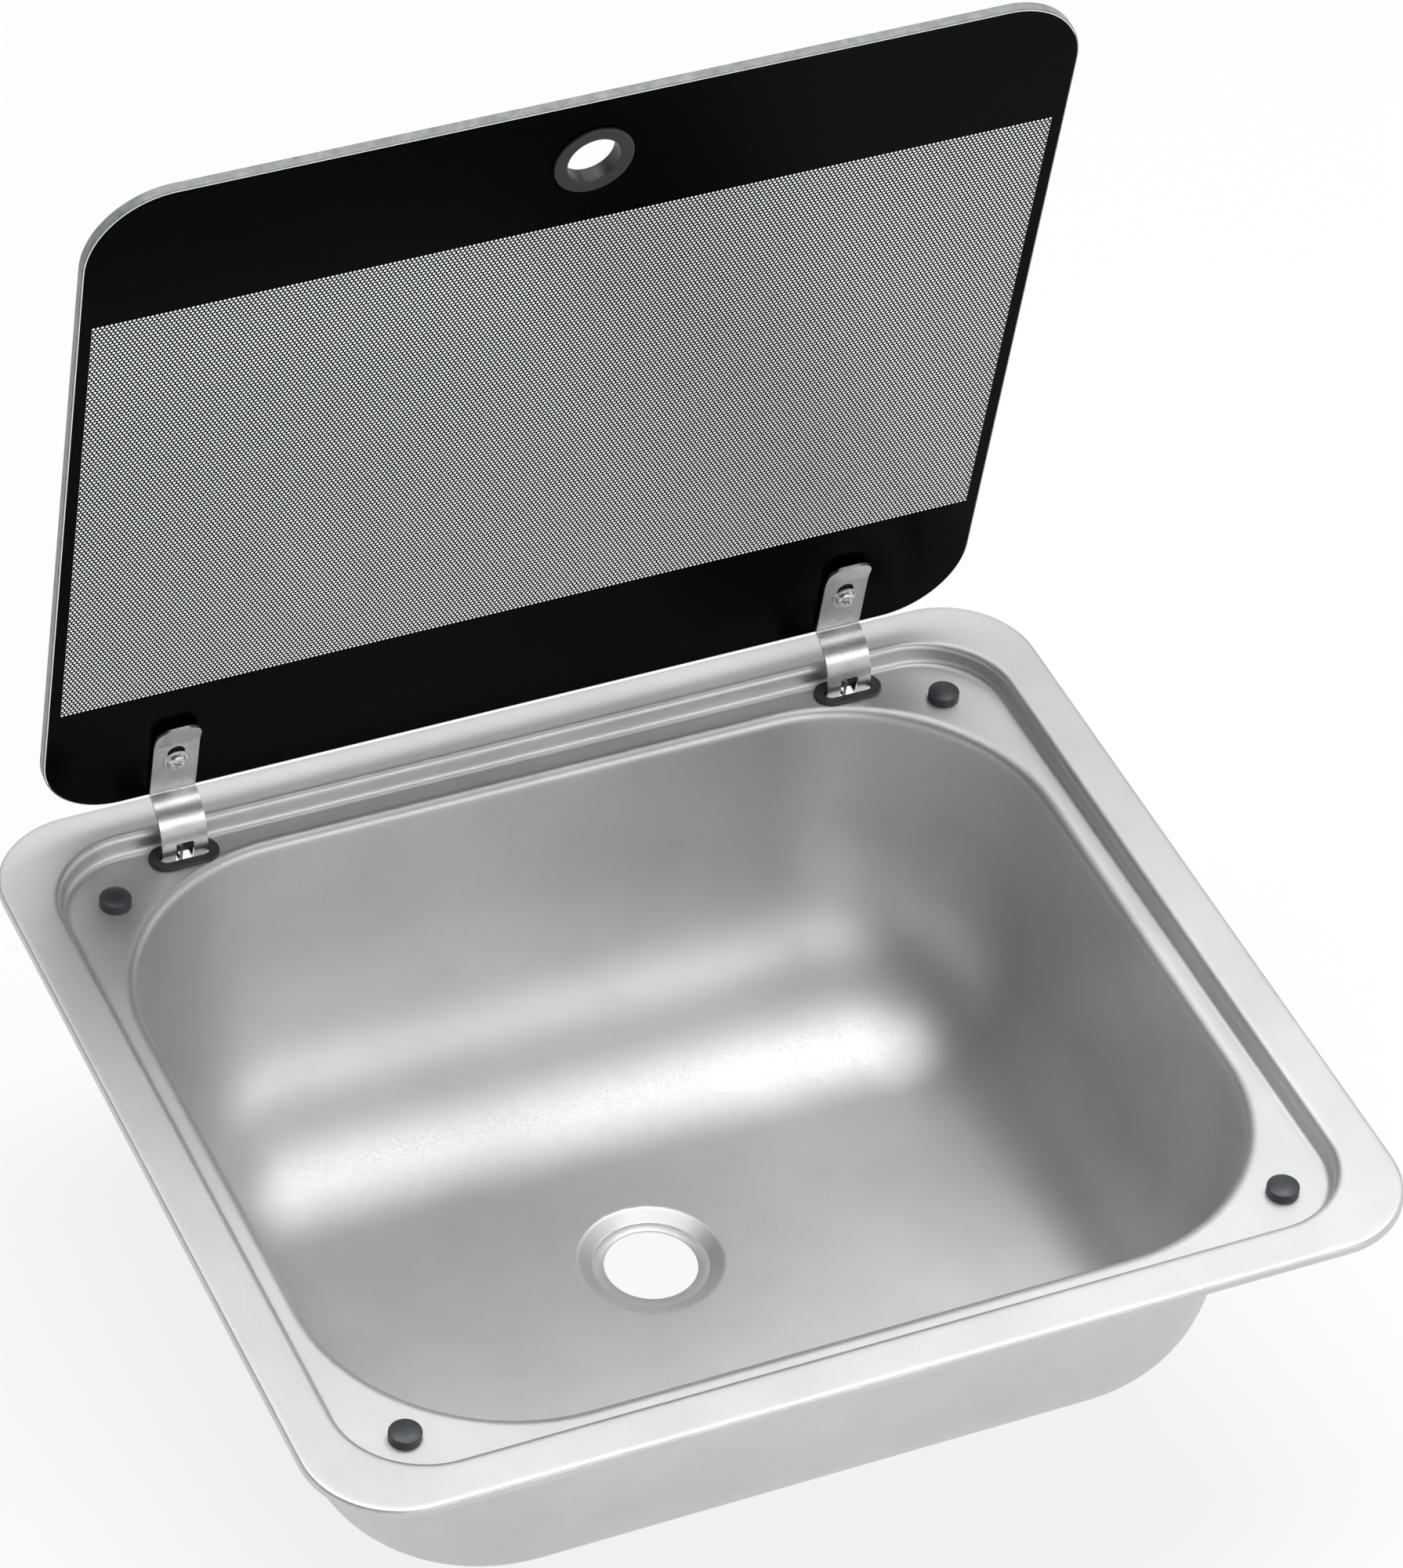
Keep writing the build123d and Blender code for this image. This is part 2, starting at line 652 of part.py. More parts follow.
def least_gap(x):
    """Smallest space between two stretches of the wire, measured on points along it."""
    path = Wire(spring_path(x))
    count = 600
    points = [path @ (k / count) for k in range(count + 1)]
    apart = int(count * 3 * coil_radius / path.length) + 1
    least = 1e9
    for i in range(0, count, 2):
        for j in range(i + apart, count + 1, 2):
            least = min(least, (points[i] - points[j]).length)
    return least - wire


# ---- the assembly ----
def build_all():
    bowl = sink_bowl()
    pieces = {"sink_bowl": bowl}
    for row, y in buffer_rows.items():
        for name, x in (("left", -buffer_x), ("right", buffer_x)):
            pieces[f"lid_buffer_{row}_{name}"] = lid_buffer(x, y)
    pieces["lid_glass"] = lid_glass()
    pieces["lid_print"] = lid_print()
    pieces["finger_ring"] = finger_ring()
    pieces["finger_ring_cap"] = finger_ring_cap()
    for name, x in hinge_x.items():
        side = -1 if x < 0 else 1
        pieces[f"slot_grommet_{name}"] = slot_grommet(x, bowl)
        pieces[f"hinge_bracket_{name}"] = hinge_bracket(x)
        pieces[f"pivot_pin_{name}"] = pivot_pin(x, side)
        pieces[f"pin_clip_{name}"] = pin_clip(x, side)
        pieces[f"torsion_spring_{name}"] = torsion_spring(x)
        pieces[f"hinge_arm_{name}"] = hinge_arm(x)
        pieces[f"arm_pad_{name}"] = arm_pad(x)
        pieces[f"glass_bush_{name}"] = glass_bush(x)
        pieces[f"nut_washer_{name}"] = nut_washer_disc(x)
        pieces[f"cap_nut_{name}"] = cap_nut(x)
        pieces[f"hinge_screw_{name}"] = hinge_screw(x)
    return pieces


os.makedirs("parts", exist_ok=True)
for node, piece in build_all().items():
    export_step(piece, f"parts/{node}.step")
print(f"torsion spring: least gap between turns {least_gap(hinge_x['left']):.2f} mm")
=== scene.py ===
"""Looks of the camper sink with its glass lid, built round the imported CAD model.

Sizes are in millimetres, as in the part's own source, and turned into metres by MM. The lid's
pieces are drawn with the lid shut and then swung open about the hinge pins, as the frame rests.
"""
from math import asin, atan2, cos, degrees, hypot, pi, radians, sin, sqrt, tan

import bmesh
import bpy
from mathutils import Euler, Matrix, Vector


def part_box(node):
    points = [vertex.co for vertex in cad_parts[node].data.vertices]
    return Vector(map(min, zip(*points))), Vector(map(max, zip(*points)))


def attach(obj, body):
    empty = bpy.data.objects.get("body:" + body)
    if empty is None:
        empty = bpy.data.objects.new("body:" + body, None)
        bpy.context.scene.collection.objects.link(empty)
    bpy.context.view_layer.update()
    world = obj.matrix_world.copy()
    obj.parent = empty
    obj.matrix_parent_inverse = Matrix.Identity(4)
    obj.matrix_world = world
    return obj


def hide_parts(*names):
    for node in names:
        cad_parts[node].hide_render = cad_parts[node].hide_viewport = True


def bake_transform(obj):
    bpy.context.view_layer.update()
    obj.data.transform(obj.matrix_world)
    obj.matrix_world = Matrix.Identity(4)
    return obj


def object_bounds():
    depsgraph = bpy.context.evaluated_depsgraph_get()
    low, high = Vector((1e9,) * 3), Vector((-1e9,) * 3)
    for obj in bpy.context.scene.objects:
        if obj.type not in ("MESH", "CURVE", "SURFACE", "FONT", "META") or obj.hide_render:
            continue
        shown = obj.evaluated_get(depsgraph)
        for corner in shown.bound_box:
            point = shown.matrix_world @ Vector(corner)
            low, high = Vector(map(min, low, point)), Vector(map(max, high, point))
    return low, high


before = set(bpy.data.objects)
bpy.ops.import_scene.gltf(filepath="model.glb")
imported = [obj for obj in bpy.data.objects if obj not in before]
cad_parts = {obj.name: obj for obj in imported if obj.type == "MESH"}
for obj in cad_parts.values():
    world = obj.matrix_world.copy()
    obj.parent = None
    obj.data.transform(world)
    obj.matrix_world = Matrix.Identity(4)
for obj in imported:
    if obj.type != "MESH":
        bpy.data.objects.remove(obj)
cad_low, cad_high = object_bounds()
MM = 0.001

# ---- the photograph's camera ----
CAMERA_PLACE = (-838.95, -1679.33, 1787.93)
CAMERA_TURN = (48.3131, -3.1589, -23.6627)      # degrees, XYZ
CAMERA_LENS = 164.109

# ---- sink ----
flange_width, flange_depth, flange_corner = 420.0, 370.0, 36.0
sheet = 0.8
flange_top = 3.0
lip_edge_radius = 1.5
land_side, land_end = 19.0, 19.0          # flange's edge to the recess wall
recess_corner = 33.0
recess_edge_radius = 3.0
recess_foot_radius = 3.0
flat_hold, lip_hold = 1.5, 0.4            # loops this far from a bend keep the flat beside it flat
ledge_hold = 0.8
ledge = -5.8
ledge_side, ledge_end = 11.0, 13.5        # recess wall to the bowl's wall at its mouth
bowl_corner = 77.0
floor_corner = 4.0
mouth_radius = 5.0
draft = radians(4.0)                      # of the bowl's walls
side_sweep, end_sweep = 54.7, 83.5        # radii of the sweeps from the walls into the floor
bowl_floor = -134.0
drain_y = 18.0
drain_hole = 35.8
drain_seat = 44.5
drain_rim = 55.5
drain_dish = 3.0
drain_margin = 6.0                        # flat floor kept round the dish
dish_foot_radius = 1.2
dish_edge_radius = 3.5

# ---- lid ----
lid_gap_side, lid_gap_front = 3.7, 0.4    # to the recess walls, lid shut
lid_corner = 32.0
lid_edge_reach = 15.7                     # the hinge edge, in front of the pins
glass = 4.0
pencil_edge = 0.6
enamel = 0.15
print_margin = 0.15
border_side, border_back, border_front = 5.3, 58.6, 59.9    # solid print round the dotted field
dot_pitch = 1.65
dot_radius = 0.53
finger_inset = 29.0         # hole's centre, from the lid's front edge
finger_bore, ring_sleeve, ring_flange = 20.0, 23.6, 30.0
ring_fit = 0.2
ring_rim = 1.3
ring_rounding, bore_rounding, ring_chamfer = 0.5, 0.6, 0.15

# ---- hinge ----
pivot_set_back, pivot_z = 9.6, -1.8       # the pins, behind the recess wall
open_angle = 80.5
hinge_inset = 51.55         # arms' middles, from the sides of the lid
arm_width, arm_thickness = 18.0, 1.2
arm_curve = 17.8            # centre line's radius about the pin
arm_reach = 40.2
tip_bend_reach = 29.6
tip_kick = 12.0
tip_corner = 6.0
tip_bend, crease_bend = 6.0, 1.5          # bend radii of the centre line, from the tip on
heel_bend, rise_bend = 1.6, 4.8
arc_start, arc_end = 192.0, 194.0
return_drop = 6.6
return_rise_y = -10.5
pin_diameter, pin_play = 2.8, 0.05
knuckle_curve = pin_diameter / 2 + pin_play + arm_thickness / 2
knuckle_turn = 290.0
strip_rounding = 0.22
arm_window, arm_window_top = 7.0, 3.4
window_corner = 0.5
window_from = 30.0          # the slit starts beyond this length of strip
adjust_slot = (13.0, 6.8)
adjust_slot_reach, screw_reach = 21.5, 20.4
pad = 0.8
glass_hole = 10.0
cross_half = (2.2, 0.6)     # half length and half width of each slot in the screw's head
cross_turn, cross_taper = 28.0, 0.5
cross_top, cross_foot = 3.1, 1.2
nut_face, nut_brow, nut_rise = 6.6, (1.4, 1.3), 0.22
nut_gap, nut_height = 0.5, 1.9
spanner_radius, spanner_reach, spanner_depth = 0.9, 4, 1.0

# ---- torsion spring ----
wire = 1.2
coil_radius = 2.15
coil_pitch = 1.65
coil_turns = 2
coil_shift = 0.9
fixed_leg_angle, moving_leg_angle = 315.0, 291.0
leg_start = 3.0
leg_bar = 1.9
leg_gap = 0.15              # from a leg to the face that it bears on
heel_room = 1.0
leg_bends = (4.0, 3.0, 1.3, 1.3)
bracket_low = 1.2
end_share, end_rise = 0.7, 0.12           # the wire's domed ends, in shares of its radius

# ---- rubber ----
grommet_shift = 0.8
grommet_length, grommet_width = 27.4, 13.6
grommet_opening = (20.0, 8.0)             # the neck's bore, in the sheet's slot
grommet_mouth = (19.4, 5.8)               # the rim closes in a little over it
grommet_neck = 1.0
grommet_rim = 1.2
rim_rounding = 0.55
grommet_lip, lip_spread = 0.8, 0.2
buffer_diameter = 12.1
dome, dome_share = 1.25, 0.9              # the button's dome: height, share of the radius
brow, brow_drop = 0.55, 0.6
stem_radius = 2.95

# ---- ground and backdrop ----
ground_gap = 0.1
floor_half = 9000.0
backdrop_radius, backdrop_height, backdrop_sides = 8800.0, 3200.0, 96
glow_share = 0.8

# ---- soft boxes: name, place, target, size, power, in metres and watts ----
LIGHTS = (
    ("high", (0.15, 0.35, 2.95), (0, 0, 0), (2.8, 1.8), 62),
    ("back_right", (1.2, 0.6, 2.4), (0, 0, 0), (1.2, 1.2), 14),
    ("back_left", (-0.9, 0.6, 2.4), (0, 0, 0), (1.2, 1.2), 9),
    ("back", (0.3, 1.9, 1.5), (0, 0, 0), (2.4, 1.4), 7),
    ("right", (2.0, 0.0, 1.0), (0, 0, 0), (1.6, 1.4), 5),
    ("front_strip", (0.45, -1.60, 1.05), (0, 0, -0.1), (2.2, 0.3), 11),
)
SKY_STRENGTH = 0.10

# ---- plan sizes that follow ----
recess_width, recess_depth = flange_width - 2 * land_side, flange_depth - 2 * land_end
bowl_width, bowl_depth = recess_width - 2 * ledge_side, recess_depth - 2 * ledge_end
pivot_y = recess_depth / 2 + pivot_set_back
lid_back = pivot_y - lid_edge_reach
lid_width = recess_width - 2 * lid_gap_side
lid_depth = lid_back + recess_depth / 2 - lid_gap_front
lid_middle = lid_back - lid_depth / 2
finger_y = lid_back - lid_depth + finger_inset
grommet_y = pivot_y - arm_curve + grommet_shift
screw_y = lid_back - screw_reach
hinge_x = {"left": hinge_inset - lid_width / 2, "right": lid_width / 2 - hinge_inset}

# ---- heights with the lid shut ----
glass_low = flange_top - glass
print_low = glass_low - enamel
arm_top = print_low - pad
arm_low = arm_top - arm_thickness
ground = cad_low[2] / MM - ground_gap

SWING = (Matrix.Translation(Vector((0, pivot_y, pivot_z)) * MM)
         @ Matrix.Rotation(radians(-open_angle), 4, "X")
         @ Matrix.Translation(Vector((0, -pivot_y, -pivot_z)) * MM))


# ---- mesh helpers ----
def link(name, data, material=None):
    """Puts a mesh, lamp or camera into the scene."""
    obj = bpy.data.objects.new(name, data)
    bpy.context.scene.collection.objects.link(obj)
    if material:
        data.materials.append(material)
    return obj


def mesh_object(name, verts, faces, material, smooth=True):
    """A mesh from points in millimetres."""
    mesh = bpy.data.meshes.new(name)
    mesh.from_pydata([Vector(v) * MM for v in verts], [], faces)
    mesh.validate()
    for face in mesh.polygons:
        face.use_smooth = smooth
    return link(name, mesh, material)


def arc(centre, radius, start, end, steps):
    """Points on an arc in a plane, angles in degrees."""
    points = []
    for k in range(steps + 1):
        a = radians(start + (end - start) * k / steps)
        points.append((centre[0] + radius * cos(a), centre[1] + radius * sin(a)))
    return points


def quarter_turn(steps):
    """(cosine, sine) pairs from 0 to 90 degrees."""
    angles = [radians(90 * k / steps) for k in range(steps + 1)]
    return [(cos(a), sin(a)) for a in angles]


def circle(centre, radius, steps):
    """A closed loop round a centre."""
    return arc(centre, radius, 0, 360 - 360 / steps, steps - 1)


def rounded_rectangle(half_x, half_y, radius, centre=(0, 0), corner_steps=18, side_steps=16):
    """A closed loop with the same number of points whatever its size."""
    loop = []
    corners = ((1, 1), (-1, 1), (-1, -1), (1, -1))
    for k, (sx, sy) in enumerate(corners):
        middle = (centre[0] + sx * (half_x - radius), centre[1] + sy * (half_y - radius))
        loop += arc(middle, radius, 90 * k, 90 * k + 90, corner_steps)
        nx, ny = corners[(k + 1) % 4]
        after = (centre[0] + nx * (half_x - radius), centre[1] + ny * (half_y - radius))
        a = radians(90 * k + 90)
        start = loop[-1]
        end = (after[0] + radius * cos(a), after[1] + radius * sin(a))
        for j in range(1, side_steps):
            t = j / side_steps
            loop.append((start[0] + (end[0] - start[0]) * t,
                         start[1] + (end[1] - start[1]) * t))
    return loop


def rings_to_faces(count, rings, closed=False):
    """Quads between loops of count points; closed joins the last loop to the first."""
    faces = []
    for r in range(rings if closed else rings - 1):
        a, b = r * count, ((r + 1) % rings) * count
        for k in range(count):
            n = (k + 1) % count
            faces.append((a + k, a + n, b + n, b + k))
    return faces


def lathe(name, profile, material, centre, steps=64, closed=True):
    """A turned piece from (radius, height) pairs round a vertical axis."""
    verts = []
    for radius, z in profile:
        verts += [(x, y, z) for x, y in circle(centre, max(radius, 0.001), steps)]
    faces = rings_to_faces(steps, len(profile), closed)
    return mesh_object(name, verts, faces, material)


def fix_normals(obj, merge=True):
    """Merges points in one place, unless told not to, and turns the faces outwards."""
    bm = bmesh.new()
    bm.from_mesh(obj.data)
    if merge:
        bmesh.ops.remove_doubles(bm, verts=bm.verts, dist=1e-7)
    bmesh.ops.recalc_face_normals(bm, faces=bm.faces)
    bm.to_mesh(obj.data)
    bm.free()
    return obj


def piece_from(bm, name, material):
    """Turns the faces outwards and makes a piece of them."""
    bmesh.ops.recalc_face_normals(bm, faces=bm.faces)
    mesh = bpy.data.meshes.new(name)
    bm.to_mesh(mesh)
    bm.free()
    return link(name, mesh, material)


def ring_of_edges(bm, loop):
    """New edges round a closed loop of points."""
    verts = [bm.verts.new(p) for p in loop]
    return [bm.edges.new((verts[k], verts[(k + 1) % len(verts)])) for k in range(len(verts))]


def weight_normals(obj):
    """Flat faces keep flat shading beside rounded edges."""
    obj.modifiers.new("weighted", "WEIGHTED_NORMAL").keep_sharp = True


def smooth_by_angle(obj, degrees_limit, weighted=True):
    """Sharp where faces meet at more than an angle."""
    bm = bmesh.new()
    bm.from_mesh(obj.data)
    bmesh.ops.recalc_face_normals(bm, faces=bm.faces)
    for edge in bm.edges:
        if len(edge.link_faces) == 2:
            edge.smooth = edge.calc_face_angle(0) < radians(degrees_limit)
    bm.to_mesh(obj.data)
    bm.free()
    if weighted:
        weight_normals(obj)


def bevel(obj, width, segments, limit):
    """Rounds the edges; width in millimetres."""
    mod = obj.modifiers.new("bevel", "BEVEL")
    mod.width = width * MM
    mod.segments = segments
    mod.limit_method = "ANGLE"
    mod.angle_limit = radians(limit)
    mod.harden_normals = True


def apply_modifiers(obj):
    """Bakes a piece's modifiers into its mesh."""
    deps = bpy.context.evaluated_depsgraph_get()
    mesh = bpy.data.meshes.new_from_object(obj.evaluated_get(deps))
    obj.modifiers.clear()
    obj.data = mesh


def cut(obj, *cutters):
    """Takes cutters out of a piece and deletes them."""
    for cutter in cutters:
        mod = obj.modifiers.new("cut", "BOOLEAN")
        mod.operation = "DIFFERENCE"
        mod.solver = "EXACT"
        mod.object = cutter
    apply_modifiers(obj)
    for cutter in cutters:
        bpy.data.objects.remove(cutter)


def capped(rings, count):
    """Faces of a tube of rings of count points, with flat ends."""
    first, last = range(count), range((rings - 1) * count, rings * count)
    return rings_to_faces(count, rings) + [tuple(reversed(first)), tuple(last)]


def make_cutter(lower, upper, low, high):
    """A body to cut with, from a loop at one height to a loop at another."""
    verts = [(x, y, low) for x, y in lower] + [(x, y, high) for x, y in upper]
    return mesh_object("cutter", verts, capped(2, len(lower)), None, False)


def slot_loop(centre, length, width, steps=16):
    """A slot's outline, its length along X."""
    r = width / 2
    d = length / 2 - r
    ends = arc((d, 0), r, -90, 90, steps) + arc((-d, 0), r, 90, 270, steps)
    return [(centre[0] + x, centre[1] + y) for x, y in ends]


def swing_open(obj):
    """Turns a piece of the lid from shut to its rest, which is open."""
    obj.data.transform(SWING)
    obj.data.update()


def thinned(points, least):
    """Leaves out each point that lies no further than a distance from the last one kept."""
    kept = [points[0]]
    for p in points[1:]:
        if (p - kept[-1]).length > least:
            kept.append(p)
    return kept


def rounded_path(points, radii, step):
    """A polyline with its inner corners rounded, in turns of about a step, in degrees."""
    path = [Vector(points[0])]
    for k in range(1, len(points) - 1):
        here = Vector(points[k])
        back = (Vector(points[k - 1]) - here).normalized()
        ahead = (Vector(points[k + 1]) - here).normalized()
        turn = pi - back.angle(ahead)
        radius = radii[k - 1]
        reach = radius * abs(sin(turn / 2) / cos(turn / 2))
        start, end = here + back * reach, here + ahead * reach
        bisector = (back + ahead).normalized()
        centre = here + bisector * (radius / cos(turn / 2))
        count = max(2, int(degrees(turn) / step))
        a, b = start - centre, end - centre
        for j in range(count + 1):
            t = j / count
            mixed = (a * sin((1 - t) * turn) + b * sin(t * turn)) / sin(turn)
            path.append(centre + mixed)
    path.append(Vector(points[-1]))
    return path


def tube(name, path, radius, material, sides=16):
    """Round wire along a path, with slightly domed ends."""
    points = thinned(path, 1e-4)
    last = len(points) - 1
    tangents = []
    for k in range(len(points)):
        a = points[max(k - 1, 0)]
        b = points[min(k + 1, last)]
        tangents.append((b - a).normalized())
    side = tangents[0].orthogonal().normalized()
    verts, rings = [], 0
    for k, (p, t) in enumerate(zip(points, tangents)):
        side = (side - t * side.dot(t)).normalized()
        up = t.cross(side)
        sections = [(1.0, 0.0)]                   # (share of the radius, shift along the wire)
        if k == 0:
            sections.insert(0, (end_share, -end_rise * radius))
        elif k == last:
            sections.append((end_share, end_rise * radius))
        for share, shift in sections:
            for j in range(sides):
                a = 2 * pi * j / sides
                verts.append(p + t * shift + (side * cos(a) + up * sin(a)) * radius * share)
            rings += 1
    return mesh_object(name, verts, capped(rings, sides), material)


def plate_with_holes(name, outline, holes, sections, material):
    """A flat plate with rounded edges.

    sections are (inset, height) pairs from the lower face's edge to the upper face's edge. outline
    and holes are functions of the inset that give a closed loop.
    """
    bm = bmesh.new()
    layers = []
    for inset, z in sections:
        loops = []
        for make in [outline] + holes:
            loops.append([bm.verts.new(Vector((x, y, z)) * MM) for x, y in make(inset)])
        layers.append(loops)
    for lower, upper in zip(layers, layers[1:]):
        for a, b in zip(lower, upper):
            n = len(a)
            for k in range(n):
                face = bm.faces.new((a[k], a[(k + 1) % n], b[(k + 1) % n], b[k]))
                face.smooth = True
    for loops in (layers[0], layers[-1]):
        edges = []
        for loop in loops:
            for k in range(len(loop)):
                edges.append(bm.edges.get((loop[k], loop[(k + 1) % len(loop)])))
        filled = bmesh.ops.triangle_fill(bm, edges=edges, use_beauty=True)
        for item in filled["geom"]:
            if isinstance(item, bmesh.types.BMFace):
                item.smooth = True
    obj = piece_from(bm, name, material)
    weight_normals(obj)
    return obj


def plan_uv(obj):
    """Lays the plan position, in metres, into the UV map; called before a lid piece swings open."""
    layer = obj.data.uv_layers.new(name="plan")
    for loop in obj.data.loops:
        co = obj.data.vertices[loop.vertex_index].co
        layer.data[loop.index].uv = (co.x, co.y)


# ---- material helpers ----
class Nodes:
    """Short-hand for building a material's node tree."""

    def __init__(self, name):
        self.material = bpy.data.materials.new(name)
        self.material.use_nodes = True
        self.tree = self.material.node_tree
        self.tree.nodes.clear()
        self.output = self.add("ShaderNodeOutputMaterial")

    def add(self, kind, **values):
        node = self.tree.nodes.new(kind)
        for key, value in values.items():
            setattr(node, key, value)
        return node

    def join(self, source, target):
        self.tree.links.new(source, target)

    def fill(self, node, **sockets):
        """Sets inputs by name, with an underscore for each space."""
        for key, value in sockets.items():
            node.inputs[key.replace("_", " ")].default_value = value

    def principled(self, color, roughness, metallic=0.0, **sockets):
        node = self.add("ShaderNodeBsdfPrincipled")
        self.fill(node, Base_Color=(*color, 1), Roughness=roughness, Metallic=metallic, **sockets)
        self.join(node.outputs[0], self.output.inputs["Surface"])
        return node

    def noise(self, scale, detail, roughness, stretch=(1, 1, 1)):
        node = self.add("ShaderNodeTexNoise")
        self.fill(node, Scale=scale, Detail=detail, Roughness=roughness)
        source = self.add("ShaderNodeTexCoord")
        mapping = self.add("ShaderNodeMapping")
        self.fill(mapping, Scale=stretch)
        self.join(source.outputs["Object"], mapping.inputs["Vector"])
        self.join(mapping.outputs[0], node.inputs["Vector"])
        return node.outputs[0]

    def roughen(self, shader, source, low, high):
        """Lets the roughness follow a value's middle range."""
        node = self.add("ShaderNodeMapRange")
        self.fill(node, From_Min=0.3, From_Max=0.7, To_Min=low, To_Max=high)
        self.join(source, node.inputs["Value"])
        self.join(node.outputs[0], shader.inputs["Roughness"])

    def tint(self, shader, source, dark, light, start=0.3, end=0.7):
        """Lets the colour follow a value's range."""
        node = self.add("ShaderNodeValToRGB")
        node.color_ramp.elements[0].position = start
        node.color_ramp.elements[0].color = (*dark, 1)
        node.color_ramp.elements[1].position = end
        node.color_ramp.elements[1].color = (*light, 1)
        self.join(source, node.inputs["Fac"])
        self.join(node.outputs[0], shader.inputs["Base Color"])

    def math(self, operation, a, b=None):
        node = self.add("ShaderNodeMath", operation=operation)
        for socket, value in zip(node.inputs, (a, b)):
            if value is None:
                continue
            if isinstance(value, (int, float)):
                socket.default_value = value
            else:
                self.join(value, socket)
        return node.outputs[0]

    def bump(self, shader, height, strength, distance):
        node = self.add("ShaderNodeBump")
        self.fill(node, Strength=strength, Distance=distance)
        self.join(height, node.inputs["Height"])
        self.join(node.outputs[0], shader.inputs["Normal"])

    def mix(self, share, first, second):
        """Shows a share of the second shader over the first."""
        node = self.add("ShaderNodeMixShader")
        for socket, source in zip(node.inputs, (share, first.outputs[0], second.outputs[0])):
            self.join(source, socket)
        self.join(node.outputs[0], self.output.inputs["Surface"])


def satin_steel():
    """Pressed stainless sheet with a fine matt grain and faint cloudiness."""
    n = Nodes("satin_steel")
    shader = n.principled((0.66, 0.66, 0.655), 0.48, 1.0)
    clouds = n.noise(18, 3, 0.55)
    n.tint(shader, clouds, (0.62, 0.625, 0.63), (0.69, 0.69, 0.685))
    grain = n.noise(2600, 2, 0.6)
    n.roughen(shader, grain, 0.36, 0.60)
    n.bump(shader, grain, 0.10, 0.00004)
    return n.material


def strip_steel():
    """Bright rolled strip with a fine grain along it and faint rub marks."""
    n = Nodes("strip_steel")
    shader = n.principled((0.56, 0.565, 0.58), 0.30, 1.0)
    rolled = n.noise(900, 3, 0.6, (1.0, 0.08, 0.08))
    n.tint(shader, n.noise(90, 3, 0.5), (0.54, 0.545, 0.56), (0.64, 0.64, 0.65), 0.35, 0.65)
    n.roughen(shader, n.noise(1500, 2, 0.5), 0.26, 0.36)
    n.bump(shader, rolled, 0.025, 0.00004)
    return n.material


def turned_steel():
    """Bright turned heads and pins."""
    n = Nodes("turned_steel")
    shader = n.principled((0.78, 0.78, 0.77), 0.18, 1.0)
    n.roughen(shader, n.noise(700, 3, 0.6), 0.12, 0.30)
    n.bump(shader, n.noise(1500, 2, 0.5), 0.08, 0.00008)
    return n.material


def spring_steel():
    """Dark drawn wire."""
    n = Nodes("spring_steel")
    shader = n.principled((0.20, 0.20, 0.21), 0.32, 1.0)
    n.tint(shader, n.noise(500, 3, 0.6), (0.11, 0.11, 0.12), (0.30, 0.30, 0.31))
    n.roughen(shader, n.noise(900, 3, 0.6), 0.24, 0.42)
    return n.material


def rubber(name, color, roughness):
    """Moulded rubber with a fine matt grain."""
    n = Nodes(name)
    shader = n.principled(color, roughness)
    lighter = tuple(c * 1.35 for c in color)
    n.tint(shader, n.noise(260, 4, 0.6), color, lighter, 0.35, 0.75)
    n.roughen(shader, n.noise(600, 3, 0.6), roughness - 0.1, roughness + 0.1)
    n.bump(shader, n.noise(1800, 3, 0.6), 0.25, 0.00008)
    return n.material


def moulded_plastic(name, color, roughness):
    """Plastic with the faint grain of its mould."""
    n = Nodes(name)
    shader = n.principled(color, roughness)
    n.roughen(shader, n.noise(500, 3, 0.6), roughness - 0.08, roughness + 0.08)
    n.bump(shader, n.noise(1400, 2, 0.5), 0.12, 0.00006)
    return n.material


def tempered_glass():
    """Clear float glass; its ground rim has a material of its own."""
    n = Nodes("tempered_glass")
    shader = n.principled((0.93, 0.96, 0.95), 0.02, 0.0, Transmission_Weight=1.0, IOR=1.5)
    n.bump(shader, n.noise(12, 2, 0.5), 0.02, 0.0002)
    return n.material


def ground_edge():
    """The pencil-ground rim of the glass: matt, grey-green, with faint grinding clouds."""
    n = Nodes("ground_edge")
    shader = n.principled((0.30, 0.32, 0.32), 0.35)
    n.tint(shader, n.noise(220, 5, 0.7), (0.17, 0.185, 0.19), (0.34, 0.355, 0.355))
    n.bump(shader, n.noise(1500, 3, 0.6), 0.2, 0.00008)
    return n.material


